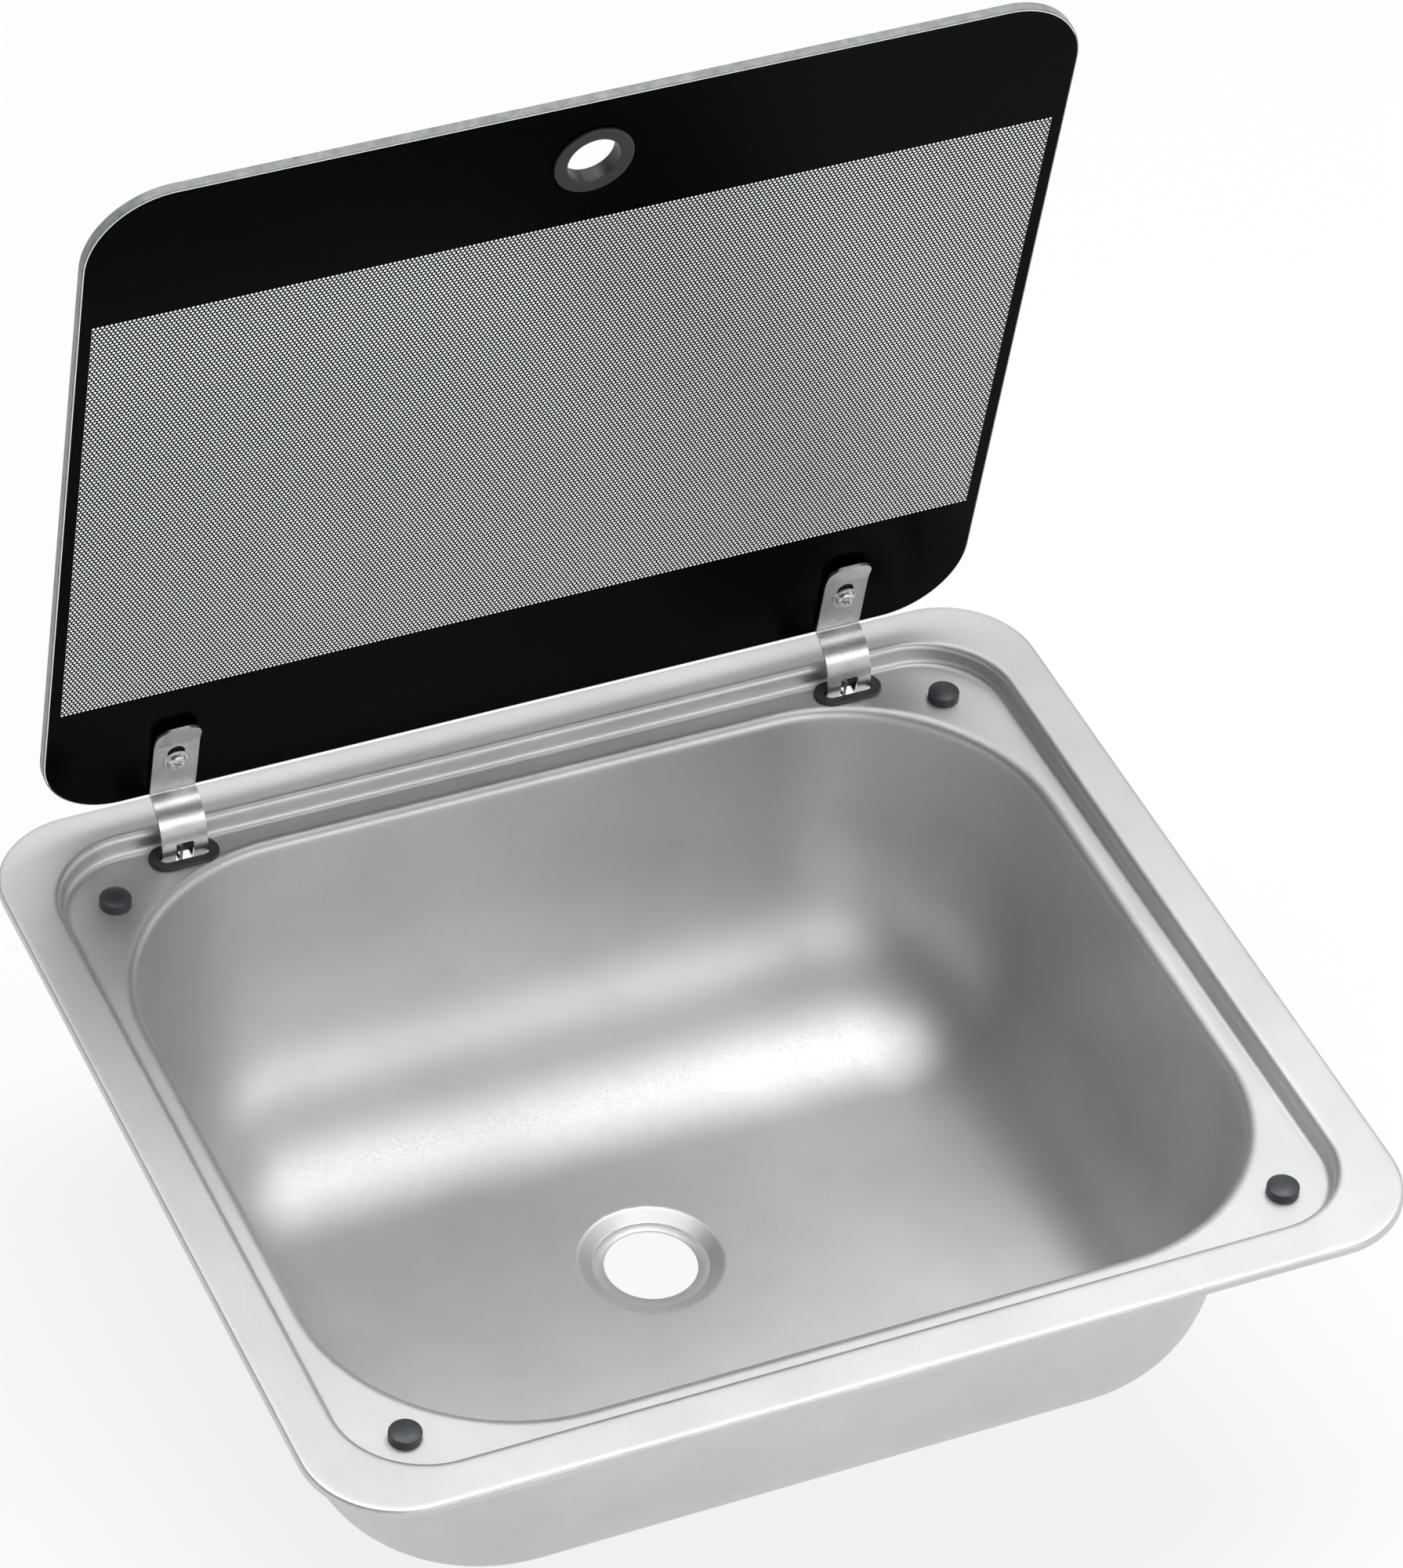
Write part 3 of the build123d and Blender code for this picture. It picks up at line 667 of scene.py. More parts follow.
def dotted_enamel():
    """Black fired print with a staggered field of clear dots."""
    n = Nodes("dotted_enamel")
    uv = n.add("ShaderNodeUVMap", uv_map="plan")
    parts = n.add("ShaderNodeSeparateXYZ")
    n.join(uv.outputs[0], parts.inputs[0])
    x, y = parts.outputs[0], parts.outputs[1]
    row_pitch = dot_pitch * sqrt(3) / 2
    v = n.math("SUBTRACT", lid_back * MM, y)
    row = n.math("DIVIDE", v, row_pitch * MM)
    row_number = n.math("FLOOR", row)
    row_off = n.math("SUBTRACT", n.math("SUBTRACT", row, row_number), 0.5)
    odd = n.math("MODULO", n.math("ABSOLUTE", row_number), 2.0)
    column = n.math("ADD", n.math("DIVIDE", x, dot_pitch * MM),
                    n.math("MULTIPLY", odd, 0.5))
    column_off = n.math("SUBTRACT", n.math("SUBTRACT", column, n.math("FLOOR", column)), 0.5)
    du = n.math("MULTIPLY", column_off, dot_pitch)
    dv = n.math("MULTIPLY", row_off, row_pitch)
    from_dot = n.math("SQRT", n.math("ADD", n.math("MULTIPLY", du, du),
                                     n.math("MULTIPLY", dv, dv)))
    in_dot = n.math("LESS_THAN", from_dot, dot_radius)
    in_x = n.math("LESS_THAN", n.math("ABSOLUTE", x), (lid_width / 2 - border_side) * MM)
    in_low = n.math("GREATER_THAN", v, border_back * MM)
    in_high = n.math("LESS_THAN", v, (lid_depth - border_front) * MM)
    clear = n.math("MULTIPLY", n.math("MULTIPLY", in_dot, in_x),
                   n.math("MULTIPLY", in_low, in_high))
    black = n.principled((0.0012, 0.0012, 0.0013), 0.22, Specular_IOR_Level=0.03)
    n.mix(clear, black, n.add("ShaderNodeBsdfTransparent"))
    n.material.blend_method = "HASHED"
    return n.material


MATERIALS = {
    "sheet": satin_steel(),
    "strip": strip_steel(),
    "turned": turned_steel(),
    "spring": spring_steel(),
    "rubber": rubber("dark_rubber", (0.032, 0.036, 0.042), 0.42),
    "pad": rubber("pad_rubber", (0.018, 0.018, 0.019), 0.7),
    "ring": moulded_plastic("ring_plastic", (0.030, 0.032, 0.035), 0.38),
    "nylon": moulded_plastic("nylon", (0.72, 0.72, 0.68), 0.45),
    "glass": tempered_glass(),
    "edge": ground_edge(),
    "print": dotted_enamel(),
}


# ---- the sink ----
def sweep_start(radius):
    """Offset of a sweep's centre from the wall's place at the mouth; inwards is negative."""
    run = (ledge - bowl_floor - radius * (1 - sin(draft))) / cos(draft)
    return -run * sin(draft) - radius * cos(draft)


def wall_offset(radius, skin, z):
    """A wall's offset from its place at the mouth, at one height; skin is 0 inside."""
    below = bowl_floor + radius - z
    if below < (radius + skin) * sin(draft):
        return (z - ledge) * tan(draft) + skin / cos(draft)
    return sweep_start(radius) + sqrt(max((radius + skin) ** 2 - below ** 2, 0))


def bowl_ring(inner_z, z, skin):
    """The bowl's outline at one height: (half x, half y, corner, height)."""
    inner = [wall_offset(radius, 0, inner_z) for radius in (side_sweep, end_sweep)]
    side_off, end_off = [wall_offset(radius, skin, z) for radius in (side_sweep, end_sweep)]
    share = (inner[0] / sweep_start(side_sweep) + inner[1] / sweep_start(end_sweep)) / 2
    grow = (side_off + end_off - sum(inner)) / 2
    corner = bowl_corner + (floor_corner - bowl_corner) * share + grow
    return (bowl_width / 2 + side_off, bowl_depth / 2 + end_off, corner, z)


def sink_rings():
    """Pairs of outlines from the lip to the floor, the visible face's and the underside's.

    An outline is (half x, half y, corner, height). The underside lies a sheet's thickness away.
    """
    rings = []

    def add(plan, offset, z, out, up):
        """A pair at one offset from a plan size; the sheet's normal points out and up."""
        width, depth, corner = plan
        seen = [size + offset for size in (width / 2, depth / 2, corner)]
        hidden = [size - sheet * out for size in seen]
        rings.append(((*seen, z), (*hidden, z - sheet * up)))

    def roll(plan, inset, low, radius, quarter, steps, turn=pi / 2):
        """Rings round a bend: quarter says which way it turns, seen in section."""
        for k in range(steps + 1):
            a = turn * k / steps
            c, s = cos(a), sin(a)
            if quarter == "lip":
                add(plan, radius * (c - 1) + inset, low + radius * s, c, s)
            elif quarter == "edge":
                add(plan, inset - radius * s, low + radius * c, -s, c)
            else:
                add(plan, inset + radius * (c - 1), low + radius * (1 - s), -c, s)

    flange = (flange_width, flange_depth, flange_corner)
    recess = (recess_width, recess_depth, recess_corner)
    bowl = (bowl_width, bowl_depth, bowl_corner)
    add(flange, 0, 0, 1, 0)
    add(flange, 0, flange_top - lip_edge_radius - lip_hold, 1, 0)
    roll(flange, 0, flange_top - lip_edge_radius, lip_edge_radius, "lip", 6)
    add(flange, -lip_edge_radius - flat_hold, flange_top, 0, 1)
    edge = recess_edge_radius
    add(recess, edge + flat_hold, flange_top, 0, 1)
    roll(recess, edge, flange_top - edge, edge, "edge", 10)
    roll(recess, 0, ledge, recess_foot_radius, "foot", 10)
    add(recess, -recess_foot_radius - ledge_hold, ledge, 0, 1)
    start = mouth_radius * (1 / cos(draft) - tan(draft))
    add(bowl, start + ledge_hold, ledge, 0, 1)
    roll(bowl, start, ledge - mouth_radius, mouth_radius, "edge", 12, pi / 2 - draft)
    wall_top = ledge - mouth_radius + mouth_radius * sin(draft)
    tallest = max(side_sweep, end_sweep)
    sweep_top = bowl_floor + tallest * (1 - sin(draft))
    wall_steps, sweep_steps = 10, 40
    for k in range(1, wall_steps):
        z = wall_top + (sweep_top - wall_top) * k / wall_steps
        rings.append((bowl_ring(z, z, 0), bowl_ring(z, z, sheet)))
    for k in range(sweep_steps + 1):
        a = draft + (pi / 2 - draft) * k / sweep_steps
        z = bowl_floor + tallest * (1 - sin(a))
        rings.append((bowl_ring(z, z, 0), bowl_ring(z, z - sheet * sin(a), sheet)))
    return rings


def drain_profile():
    """Round the drain: (radius, height, outward, up), from the floor to the hole."""
    slope = atan2(drain_dish, (drain_rim - drain_seat) / 2)
    rows = [(drain_rim / 2 + drain_margin, bowl_floor, 0, 1)]
    steps = 6
    edge = dish_edge_radius
    reach = edge * (1 - cos(slope)) / sin(slope)
    start = drain_rim / 2 + reach
    for k in range(steps + 1):
        a = slope * k / steps
        rows.append((start - edge * sin(a), bowl_floor - edge * (1 - cos(a)), -sin(a), cos(a)))
    foot = dish_foot_radius
    reach = foot * (1 - cos(slope)) / sin(slope)
    low = bowl_floor - drain_dish
    end = drain_seat / 2 - reach
    for k in range(steps, -1, -1):
        a = slope * k / steps
        rows.append((end + foot * sin(a), low + foot * (1 - cos(a)), -sin(a), cos(a)))
    rows.append((drain_hole / 2 + 0.25, low, 0, 1))
    rows.append((drain_hole / 2, low - 0.2, -1, 0.2))
    return rows


def build_sink():
    """One closed sheet: the visible face, then its underside a sheet's thickness away."""
    top, under = [], []
    for pair in sink_rings():
        for loops, (half_x, half_y, corner, z) in zip((top, under), pair):
            loops.append([(x, y, z) for x, y in rounded_rectangle(half_x, half_y, corner)])
    angles = [atan2(y - drain_y, x) for x, y, z in top[-1]]
    for radius, z, out, up in drain_profile():
        t = 0 if out == -1 else sheet
        top.append([(radius * cos(a), drain_y + radius * sin(a), z) for a in angles])
        r = radius - t * out
        drop = sheet * 0.75 if out == -1 else t * up
        under.append([(r * cos(a), drain_y + r * sin(a), z - drop) for a in angles])
    loops = top + list(reversed(under))
    count = len(loops[0])
    verts = [p for loop in loops for p in loop]
    faces = rings_to_faces(count, len(loops), closed=True)
    sink = fix_normals(mesh_object("sink_sheet", verts, faces, MATERIALS["sheet"]), merge=False)
    neck = [size + 2 * grommet_neck for size in grommet_opening]
    slots = [slot_loop((x, grommet_y), *neck) for x in hinge_x.values()]
    cut(sink, *[make_cutter(slot, slot, ledge - 6, ledge + 6) for slot in slots])
    smooth_by_angle(sink, 40, weighted=False)
    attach(sink, "sink")
    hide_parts("sink_bowl")


build_sink()


# ---- rubber on the ledge ----
def build_grommet(side, x):
    """Oval grommet: a soft flat-topped rim, a neck through the slot and a lip under it."""
    half_l, half_w = grommet_length / 2, grommet_width / 2
    inner_l, inner_w = grommet_mouth[0] / 2, grommet_mouth[1] / 2
    bore_l, bore_w = grommet_opening[0] / 2, grommet_opening[1] / 2
    top = ledge + grommet_rim
    under = ledge - sheet
    foot = under - grommet_lip
    r = rim_rounding
    section = [(bore_l, bore_w, foot), (bore_l, bore_w, ledge - 0.2),
               (inner_l, inner_w, ledge + 0.1),
               (inner_l, inner_w, top - r)]       # (half length, half width, height)
    for c, s in quarter_turn(4)[1:]:
        section.append((inner_l + r - r * c, inner_w + r - r * c, top - r + r * s))
    for c, s in quarter_turn(4):
        section.append((half_l - r + r * s, half_w - r + r * s, top - r + r * c))
    gap = 0.02
    neck_l, neck_w = bore_l + grommet_neck - gap, bore_w + grommet_neck - gap
    section += [(half_l, half_w, ledge + 0.05), (neck_l, neck_w, ledge + gap),
                (neck_l, neck_w, under - gap),
                (neck_l + lip_spread, neck_w + lip_spread, under - gap), (neck_l, neck_w, foot)]
    verts = []
    for length, width, z in section:
        loop = slot_loop((x, grommet_y), 2 * length, 2 * width, steps=20)
        verts += [(px, py, z) for px, py in loop]
    count = len(verts) // len(section)
    faces = rings_to_faces(count, len(section), closed=True)
    obj = mesh_object(f"grommet_{side}", verts, faces, MATERIALS["rubber"])
    smooth_by_angle(obj, 50)
    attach(obj, "sink")
    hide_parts(f"slot_grommet_{side}")


def build_buffer(name):
    """Domed rubber button with a slightly waisted side, and its stem and barb under the ledge."""
    low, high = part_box(name)
    cx, cy = (low[0] + high[0]) / 2 / MM, (low[1] + high[1]) / 2 / MM
    top = high[2] / MM
    under = ledge - sheet
    r = buffer_diameter / 2
    profile = [(0.0, top)]
    dome_steps = 10
    for k in range(1, dome_steps + 1):
        t = k / dome_steps
        profile.append((r * dome_share * t, top - dome * (0.35 * t ** 2 + 0.30 * t ** 4)))
    for c, s in quarter_turn(5)[1:]:
        profile.append((r * dome_share + brow * s, top - dome * 0.65 - brow_drop * (1 - c)))
    profile += [(r * 0.985, ledge + 1.5), (r, ledge + 0.8), (r, ledge + 0.25)]
    profile += [(r - 0.2, ledge + 0.01), (stem_radius, ledge + 0.01)]
    profile += [(stem_radius, under - 0.05), (4.2, under - 0.05), (4.1, under - 0.4)]
    profile += [(3.0, under - 1.4), (0.0, under - 1.4)]
    obj = lathe(f"button_{name[11:]}", profile, MATERIALS["rubber"], (cx, cy), 56)
    smooth_by_angle(obj, 50)
    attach(obj, "sink")
    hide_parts(name)


for side, x in hinge_x.items():
    build_grommet(side, x)
for row in ("front", "rear"):
    for side in ("left", "right"):
        build_buffer(f"lid_buffer_{row}_{side}")


# ---- the lid ----
def lid_outline(inset):
    """The lid's plan, shut, drawn in by an inset."""
    return rounded_rectangle(lid_width / 2 - inset, lid_depth / 2 - inset, lid_corner - inset,
                             (0, lid_middle))


def round_hole(x, y, radius, steps=64):
    """A hole's loop as a function of the inset, which widens it."""
    return lambda inset: circle((x, y), radius + inset, steps)


def lid_hole_makers():
    """The finger hole and the two screw holes."""
    makers = [round_hole(0, finger_y, ring_sleeve / 2 + ring_fit)]
    return makers + [round_hole(x, screw_y, glass_hole / 2, 40) for x in hinge_x.values()]


def build_glass():
    """The pane, with a ground rim round it and round its holes."""
    r = pencil_edge
    sections = [(r * (1 - s), glass_low + r * (1 - c)) for c, s in quarter_turn(6)]
    sections += [(r * (1 - c), flange_top - r + r * s) for c, s in quarter_turn(6)]
    holes = [hole_with_small_edge(make) for make in lid_hole_makers()]
    obj = plate_with_holes("lid_pane", lid_outline, holes, sections, MATERIALS["glass"])
    obj.data.materials.append(MATERIALS["edge"])
    flat_enough = 0.97
    for face in obj.data.polygons:
        if abs(face.normal.z) < flat_enough:
            face.material_index = 1
    swing_open(obj)
    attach(obj, "lid")
    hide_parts("lid_glass")


def hole_with_small_edge(make):
    """Holes have a third of the outer edge's rounding."""
    return lambda inset: make(inset / 3)


def build_print():
    """The enamel as one sheet under the glass, its dots left to the material."""
    bm = bmesh.new()
    z = print_low + enamel * 0.3
    loops = [lid_outline(pencil_edge + print_margin)] + [make(0) for make in lid_hole_makers()]
    edges = []
    for loop in loops:
        edges += ring_of_edges(bm, [Vector((x, y, z)) * MM for x, y in loop])
    bmesh.ops.triangle_fill(bm, edges=edges, use_beauty=True)
    obj = piece_from(bm, "lid_enamel", MATERIALS["print"])
    plan_uv(obj)
    swing_open(obj)
    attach(obj, "lid")
    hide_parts("lid_print")


def build_finger_ring():
    """Moulded ring: sleeve with a rounded flange on the print, and its cap on the outer face."""
    centre = (0, finger_y)
    bore, sleeve, flange = finger_bore / 2, ring_sleeve / 2, ring_flange / 2
    low = print_low - ring_rim
    e, i, chamfer = ring_rounding, bore_rounding, ring_chamfer
    profile = [(sleeve, print_low), (flange - chamfer, print_low), (flange, print_low - chamfer)]
    profile += [(flange - e + e * c, low + e - e * s) for c, s in quarter_turn(3)]
    profile += [(bore + i - i * s, low + i - i * c) for c, s in quarter_turn(3)]
    profile += [(bore, flange_top), (sleeve, flange_top)]
    ring = lathe("finger_ring_body", profile, MATERIALS["ring"], centre, 96)
    smooth_by_angle(ring, 40)
    swing_open(ring)
    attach(ring, "lid")
    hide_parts("finger_ring")
    high = flange_top + ring_rim
    profile = [(flange - chamfer, flange_top), (bore, flange_top)]
    profile += [(bore + i - i * c, high - i + i * s) for c, s in quarter_turn(3)]
    profile += [(flange - e + e * s, high - e + e * c) for c, s in quarter_turn(3)]
    profile += [(flange, flange_top + chamfer)]
    cap = lathe("finger_ring_back", profile, MATERIALS["ring"], centre, 96)
    smooth_by_angle(cap, 40)
    swing_open(cap)
    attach(cap, "lid")
    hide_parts("finger_ring_cap")


build_glass()
build_print()
build_finger_ring()


# ---- hinge arms ----
def turned(point, angle):
    """A point turned about the pin, in degrees."""
    c, s = cos(radians(angle)), sin(radians(angle))
    return (point[0] * c - point[1] * s, point[0] * s + point[1] * c)


def arm_line():
    """The arm's centre line from tip to knuckle, about the pin, with the lid shut."""
    plate_z = arm_top - arm_thickness / 2 - pivot_z
    tip_y = lid_back - tip_bend_reach - pivot_y
    tip_length = arm_reach - tip_bend_reach
    kick = radians(tip_kick)
    tip = (tip_y - tip_length * cos(kick), plate_z - tip_length * sin(kick))
    start = radians(arc_start)
    arc_top = (arm_curve * cos(start), arm_curve * sin(start))
    climb = (plate_z - arc_top[1]) / -cos(start)
    crease = (arc_top[0] + climb * sin(start), plate_z)
    end = radians(arc_end)
    foot = (arm_curve * cos(end), arm_curve * sin(end))
    fall = (-return_drop - foot[1]) / cos(end)
    heel = (foot[0] - fall * sin(end), -return_drop)
    rise = (return_rise_y, -return_drop)
    reach = hypot(*rise)
    slope = atan2(return_drop, -return_rise_y) - asin(knuckle_curve / reach)
    run = sqrt(reach ** 2 - knuckle_curve ** 2)
    touch = (rise[0] + run * cos(slope), rise[1] + run * sin(slope))
    flat = [(0, *p) for p in (tip, (tip_y, plate_z), crease, arc_top)]
    line = rounded_path(flat, [tip_bend, crease_bend], 5)
    curve = arc((0, 0), arm_curve, arc_start, arc_end + open_angle, 24)
    line += [Vector((0, *p)) for p in curve[1:]]
    back = [(0, *turned(p, open_angle)) for p in (foot, heel, rise, touch)]
    line += rounded_path(back, [heel_bend, rise_bend], 8)[1:]
    roll_start = degrees(slope) - 90 + open_angle
    knuckle = arc((0, 0), knuckle_curve, roll_start, roll_start + knuckle_turn, 26)
    line += [Vector((0, *p)) for p in knuckle[1:]]
    return thinned(line, 0.02)


def along(line):
    """Distance along the line at each of its points."""
    lengths = [0.0]
    for a, b in zip(line, line[1:]):
        lengths.append(lengths[-1] + (b - a).length)
    return lengths


def split_across(bm, places):
    """Cuts a flat strip across at each place along it."""
    for s in places:
        bmesh.ops.bisect_plane(bm, geom=[*bm.verts, *bm.edges, *bm.faces], dist=1e-5,
                               plane_co=(s, 0, 0), plane_no=(1, 0, 0))


def build_arm(side, x):
    """The strip is cut flat, with its slot, slit and rounded tip, and then bent along its line."""
    line = arm_line()
    lengths = along(line)
    total = lengths[-1]
    w = arm_width / 2
    screw_s = arm_reach - adjust_slot_reach
    opened = [turned((p.y, p.z), -open_angle) for p in line]
    slit_s = total
    for p, s in zip(opened, lengths):
        if s > window_from and p[1] < arm_window_top:
            slit_s = s
            break
    steps = 10
    outline = arc((tip_corner, -w + tip_corner), tip_corner, 270, 180, steps)
    outline += arc((tip_corner, w - tip_corner), tip_corner, 180, 90, steps)
    h, corner = arm_window / 2, window_corner
    outline += [(total, w), (total, h), (slit_s + corner, h), (slit_s, h - corner),
                (slit_s, -h + corner), (slit_s + corner, -h), (total, -h), (total, -w)]
    hole = slot_loop((screw_s, 0), *adjust_slot, steps=12)
    bm = bmesh.new()
    edges = []
    for loop in (outline, hole):
        edges += ring_of_edges(bm, [(a, b, 0) for a, b in loop])
    bmesh.ops.triangle_fill(bm, edges=edges, use_beauty=False)
    split_across(bm, lengths[1:-1])
    slanting = [e for e in bm.edges
                if abs(e.verts[0].co.x - e.verts[1].co.x) > 1e-4 and not e.is_boundary]
    bmesh.ops.dissolve_limit(bm, angle_limit=0.001, verts=bm.verts, edges=slanting)
    split_across(bm, lengths[1:-1])
    for vert in bm.verts:
        s = min(max(vert.co.x, 0.0), total)
        k = 0
        while k < len(lengths) - 2 and lengths[k + 1] < s:
            k += 1
        t = (s - lengths[k]) / (lengths[k + 1] - lengths[k])
        place = line[k].lerp(line[k + 1], t)
        vert.co = Vector((x + vert.co.y, pivot_y + place.y, pivot_z + place.z)) * MM
    obj = piece_from(bm, f"arm_strip_{side}", MATERIALS["strip"])
    for face in obj.data.polygons:
        face.use_smooth = True
    solid = obj.modifiers.new("thick", "SOLIDIFY")
    solid.thickness = arm_thickness * MM
    solid.offset = 0
    solid.use_even_offset = True
    bevel(obj, strip_rounding, 3, 40)
    apply_modifiers(obj)
    weight_normals(obj)
    swing_open(obj)
    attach(obj, "lid")
    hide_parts(f"hinge_arm_{side}")


def build_screw(side, x):
    """Pan head with a thin flange and a cross recess."""
    centre = (x, screw_y)
    face = arm_low
    rows = [(0.0, 0.02), (4.85, 0.02), (4.9, 0.14), (4.8, 0.5), (4.55, 0.62),
            (3.75, 0.66), (3.65, 0.9), (3.6, 1.5)]          # (radius, depth below the arm)
    profile = [(radius, face - depth) for radius, depth in rows]
    profile += [(2.3 + 1.3 * c, face - 1.5 - 1.2 * s) for c, s in quarter_turn(8)]
    profile += [(1.2, face - 2.76), (0.0, face - 2.78)]
    profile.reverse()
    head = lathe(f"screw_head_{side}", profile, MATERIALS["turned"], centre, closed=False)
    fix_normals(head)
    turn = Matrix.Rotation(radians(cross_turn), 2)
    middle = Vector(centre)
    a, b = cross_half
    long_loop = [(-a, -b), (a, -b), (a, b), (-a, b)]
    cutters = []
    for slot in (long_loop, [(-v, u) for u, v in long_loop]):
        loop = [tuple(turn @ Vector(p) + middle) for p in slot]
        taper = [tuple((Vector(p) - middle) * cross_taper + middle) for p in loop]
        cutters.append(fix_normals(make_cutter(loop, taper, face - cross_top, face - cross_foot)))
    cut(head, *cutters)
    shank_profile = [(2.0, face), (2.0, flange_top - 0.2), (1.7, flange_top)]
    shank = lathe(f"screw_shank_{side}", shank_profile, MATERIALS["turned"], centre, 40,
                  closed=False)
    shank.parent = head
    smooth_by_angle(head, 35)
    swing_open(head)
    swing_open(shank)
    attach(head, "lid")
    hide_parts(f"hinge_screw_{side}")


def build_cap_nut(side, x):
    """Low domed nut on the outer face, with a rounded rim and two spanner holes."""
    low = flange_top + nut_gap
    high = low + nut_height
    profile = [(0.0, high)]
    face_steps = 8
    for k in range(1, face_steps + 1):
        t = k / face_steps
        profile.append((nut_face * t, high - nut_rise * t * t))
    out, down = nut_brow
    for c, s in quarter_turn(7)[1:]:
        profile.append((nut_face + out * s, high - nut_rise - down * (1 - c)))
    foot = arm_top + 0.4
    profile += [(8.0, low + 0.1), (7.9, low), (3.1, low), (3.1, foot), (2.05, foot), (2.05, low),
                (0.0, low)]
    nut = lathe(f"cap_{side}", profile, MATERIALS["turned"], (x, screw_y), 72, closed=False)
    fix_normals(nut)
    cutters = []
    for reach in (-spanner_reach, spanner_reach):
        loop = circle((x + reach, screw_y), spanner_radius, 24)
        cutters.append(fix_normals(make_cutter(loop, loop, high - spanner_depth, high + 1)))
    cut(nut, *cutters)
    smooth_by_angle(nut, 40)
    swing_open(nut)
    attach(nut, "lid")
    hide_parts(f"cap_nut_{side}")


# ---- torsion springs ----
def coil_point(x, angle, shift):
    """A point on the coil's centre line, at an angle about the pin."""
    a = radians(angle)
    return Vector((x + coil_shift + shift, pivot_y + coil_radius * cos(a),
                   pivot_z + coil_radius * sin(a)))


def coil_way(angle):
    """The direction that the coil runs in at an angle about the pin."""
    a = radians(angle)
    around = radians(1) * coil_radius
    return Vector((-coil_pitch / 360, around * sin(a), -around * cos(a))).normalized()


def build_spring(side, x):
    """Fixed leg under the bracket's plate, coil on the pin, moving leg in the arm's slit."""
    swept = 360 * coil_turns + fixed_leg_angle - moving_leg_angle
    half = coil_pitch * swept / 720
    steps = 36 * coil_turns
    coil = []
    for k in range(steps + 1):
        angle = fixed_leg_angle - swept * k / steps
        coil.append(coil_point(x, angle, half - coil_pitch * swept * k / steps / 360))
    first, last = coil[0], coil[-1]
    way = coil_way(fixed_leg_angle)
    stop_z = bracket_low - wire / 2 - leg_gap
    fixed_end = first - way * ((stop_z - first.z) / -way.z)
    way = coil_way(moving_leg_angle)
    ease = last + way * leg_start
    low = pivot_z - return_drop
    down = Vector((ease.x, ease.y + (low - ease.z) * way.y / way.z, low))
    front = pivot_y - arm_curve
    top = pivot_z + arm_window_top - wire / 2 - leg_gap
    heel = Vector((ease.x, front + heel_room, low))
    upper = Vector((ease.x, front, top))
    bar = Vector((ease.x - leg_bar, front, top))
    leg = rounded_path([last, ease, down, heel, upper, bar], leg_bends, 10)
    count = 8
    stub = [fixed_end.lerp(first, k / count) for k in range(count)]
    obj = tube(f"spring_wire_{side}", stub + coil + leg[1:], wire / 2, MATERIALS["spring"])
    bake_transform(obj)
    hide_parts(f"torsion_spring_{side}")


for side, x in hinge_x.items():
    build_arm(side, x)
    build_screw(side, x)
    build_cap_nut(side, x)
    build_spring(side, x)


# ---- pieces that keep their CAD shape ----
DRESSED = {"hinge_bracket": "strip", "pivot_pin": "turned", "pin_clip": "spring",
           "arm_pad": "pad", "glass_bush": "nylon", "nut_washer": "pad"}

for side in hinge_x:
    for node, material in DRESSED.items():
        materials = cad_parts[f"{node}_{side}"].data.materials
        materials.clear()
        materials.append(MATERIALS[material])


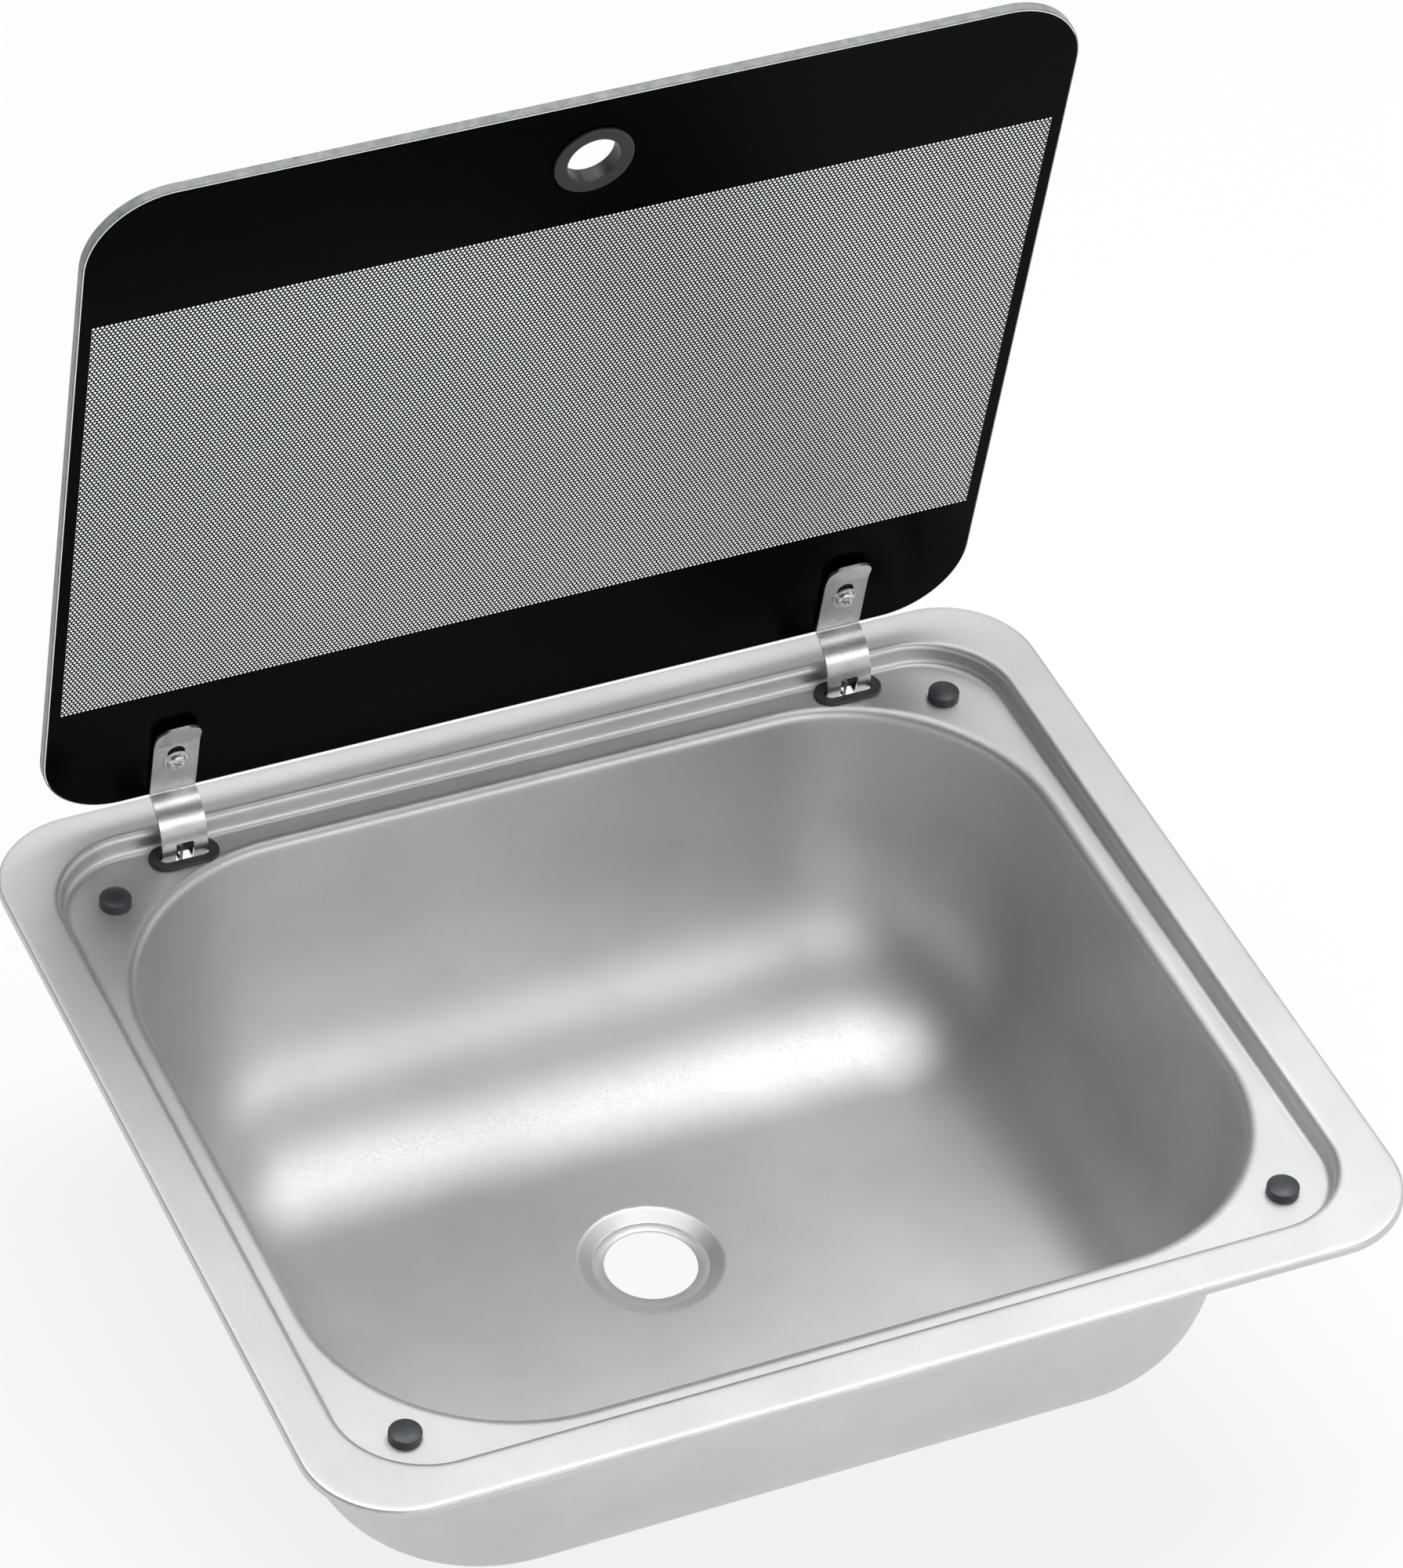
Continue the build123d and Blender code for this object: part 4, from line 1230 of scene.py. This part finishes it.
# ---- floor, lights and camera ----
def pale_floor():
    """White to the eye and in reflections, and still keeps the object's shadow."""
    n = Nodes("pale_floor")
    diffuse = n.add("ShaderNodeBsdfDiffuse")
    n.fill(diffuse, Color=(0.86, 0.86, 0.86, 1))
    glow = n.add("ShaderNodeEmission")
    n.fill(glow, Strength=1.0)
    path = n.add("ShaderNodeLightPath")
    bounced = n.math("MAXIMUM", path.outputs["Is Glossy Ray"],
                     path.outputs["Is Transmission Ray"])
    seen = n.math("MAXIMUM", path.outputs["Is Camera Ray"], bounced)
    n.mix(n.math("MULTIPLY", seen, glow_share), diffuse, glow)
    return n.material


def build_floor(material):
    """A square of ground just under the object."""
    s = floor_half
    corners = [(-s, -s, ground), (s, -s, ground), (s, s, ground), (-s, s, ground)]
    obj = mesh_object("floor", corners, [(0, 1, 2, 3)], material, False)


def build_backdrop(material):
    """A low ring of wall round the floor, so that level views end in the same pale ground."""
    ring = circle((0, 0), backdrop_radius, backdrop_sides)
    verts = [(x, y, z) for z in (ground, ground + backdrop_height) for x, y in ring]
    obj = mesh_object("backdrop", verts, rings_to_faces(backdrop_sides, 2), material)


def area_light(name, place, target, size, power):
    """A soft box that faces its target."""
    data = bpy.data.lights.new(name, "AREA")
    data.shape = "RECTANGLE"
    data.size, data.size_y = size
    data.energy = power
    obj = link(name, data)
    obj.location = place
    obj.rotation_euler = (Vector(target) - Vector(place)).to_track_quat("-Z", "Y").to_euler()


def build_world():
    """An even white sky."""
    world = bpy.data.worlds.new("studio")
    world.use_nodes = True
    background = world.node_tree.nodes["Background"]
    background.inputs["Color"].default_value = (1, 1, 1, 1)
    background.inputs["Strength"].default_value = SKY_STRENGTH
    bpy.context.scene.world = world


def build_camera():
    """The photograph's camera."""
    data = bpy.data.cameras.new("camera")
    data.lens = CAMERA_LENS
    data.sensor_width = 36
    data.clip_end = 50
    obj = link("camera", data)
    obj.location = Vector(CAMERA_PLACE) * MM
    obj.rotation_euler = Euler([radians(a) for a in CAMERA_TURN], "XYZ")
    bpy.context.scene.camera = obj


pale = pale_floor()
build_floor(pale)
build_backdrop(pale)
build_world()
build_camera()
for light in LIGHTS:
    area_light(*light)

bpy.context.scene.view_settings.view_transform = "Standard"
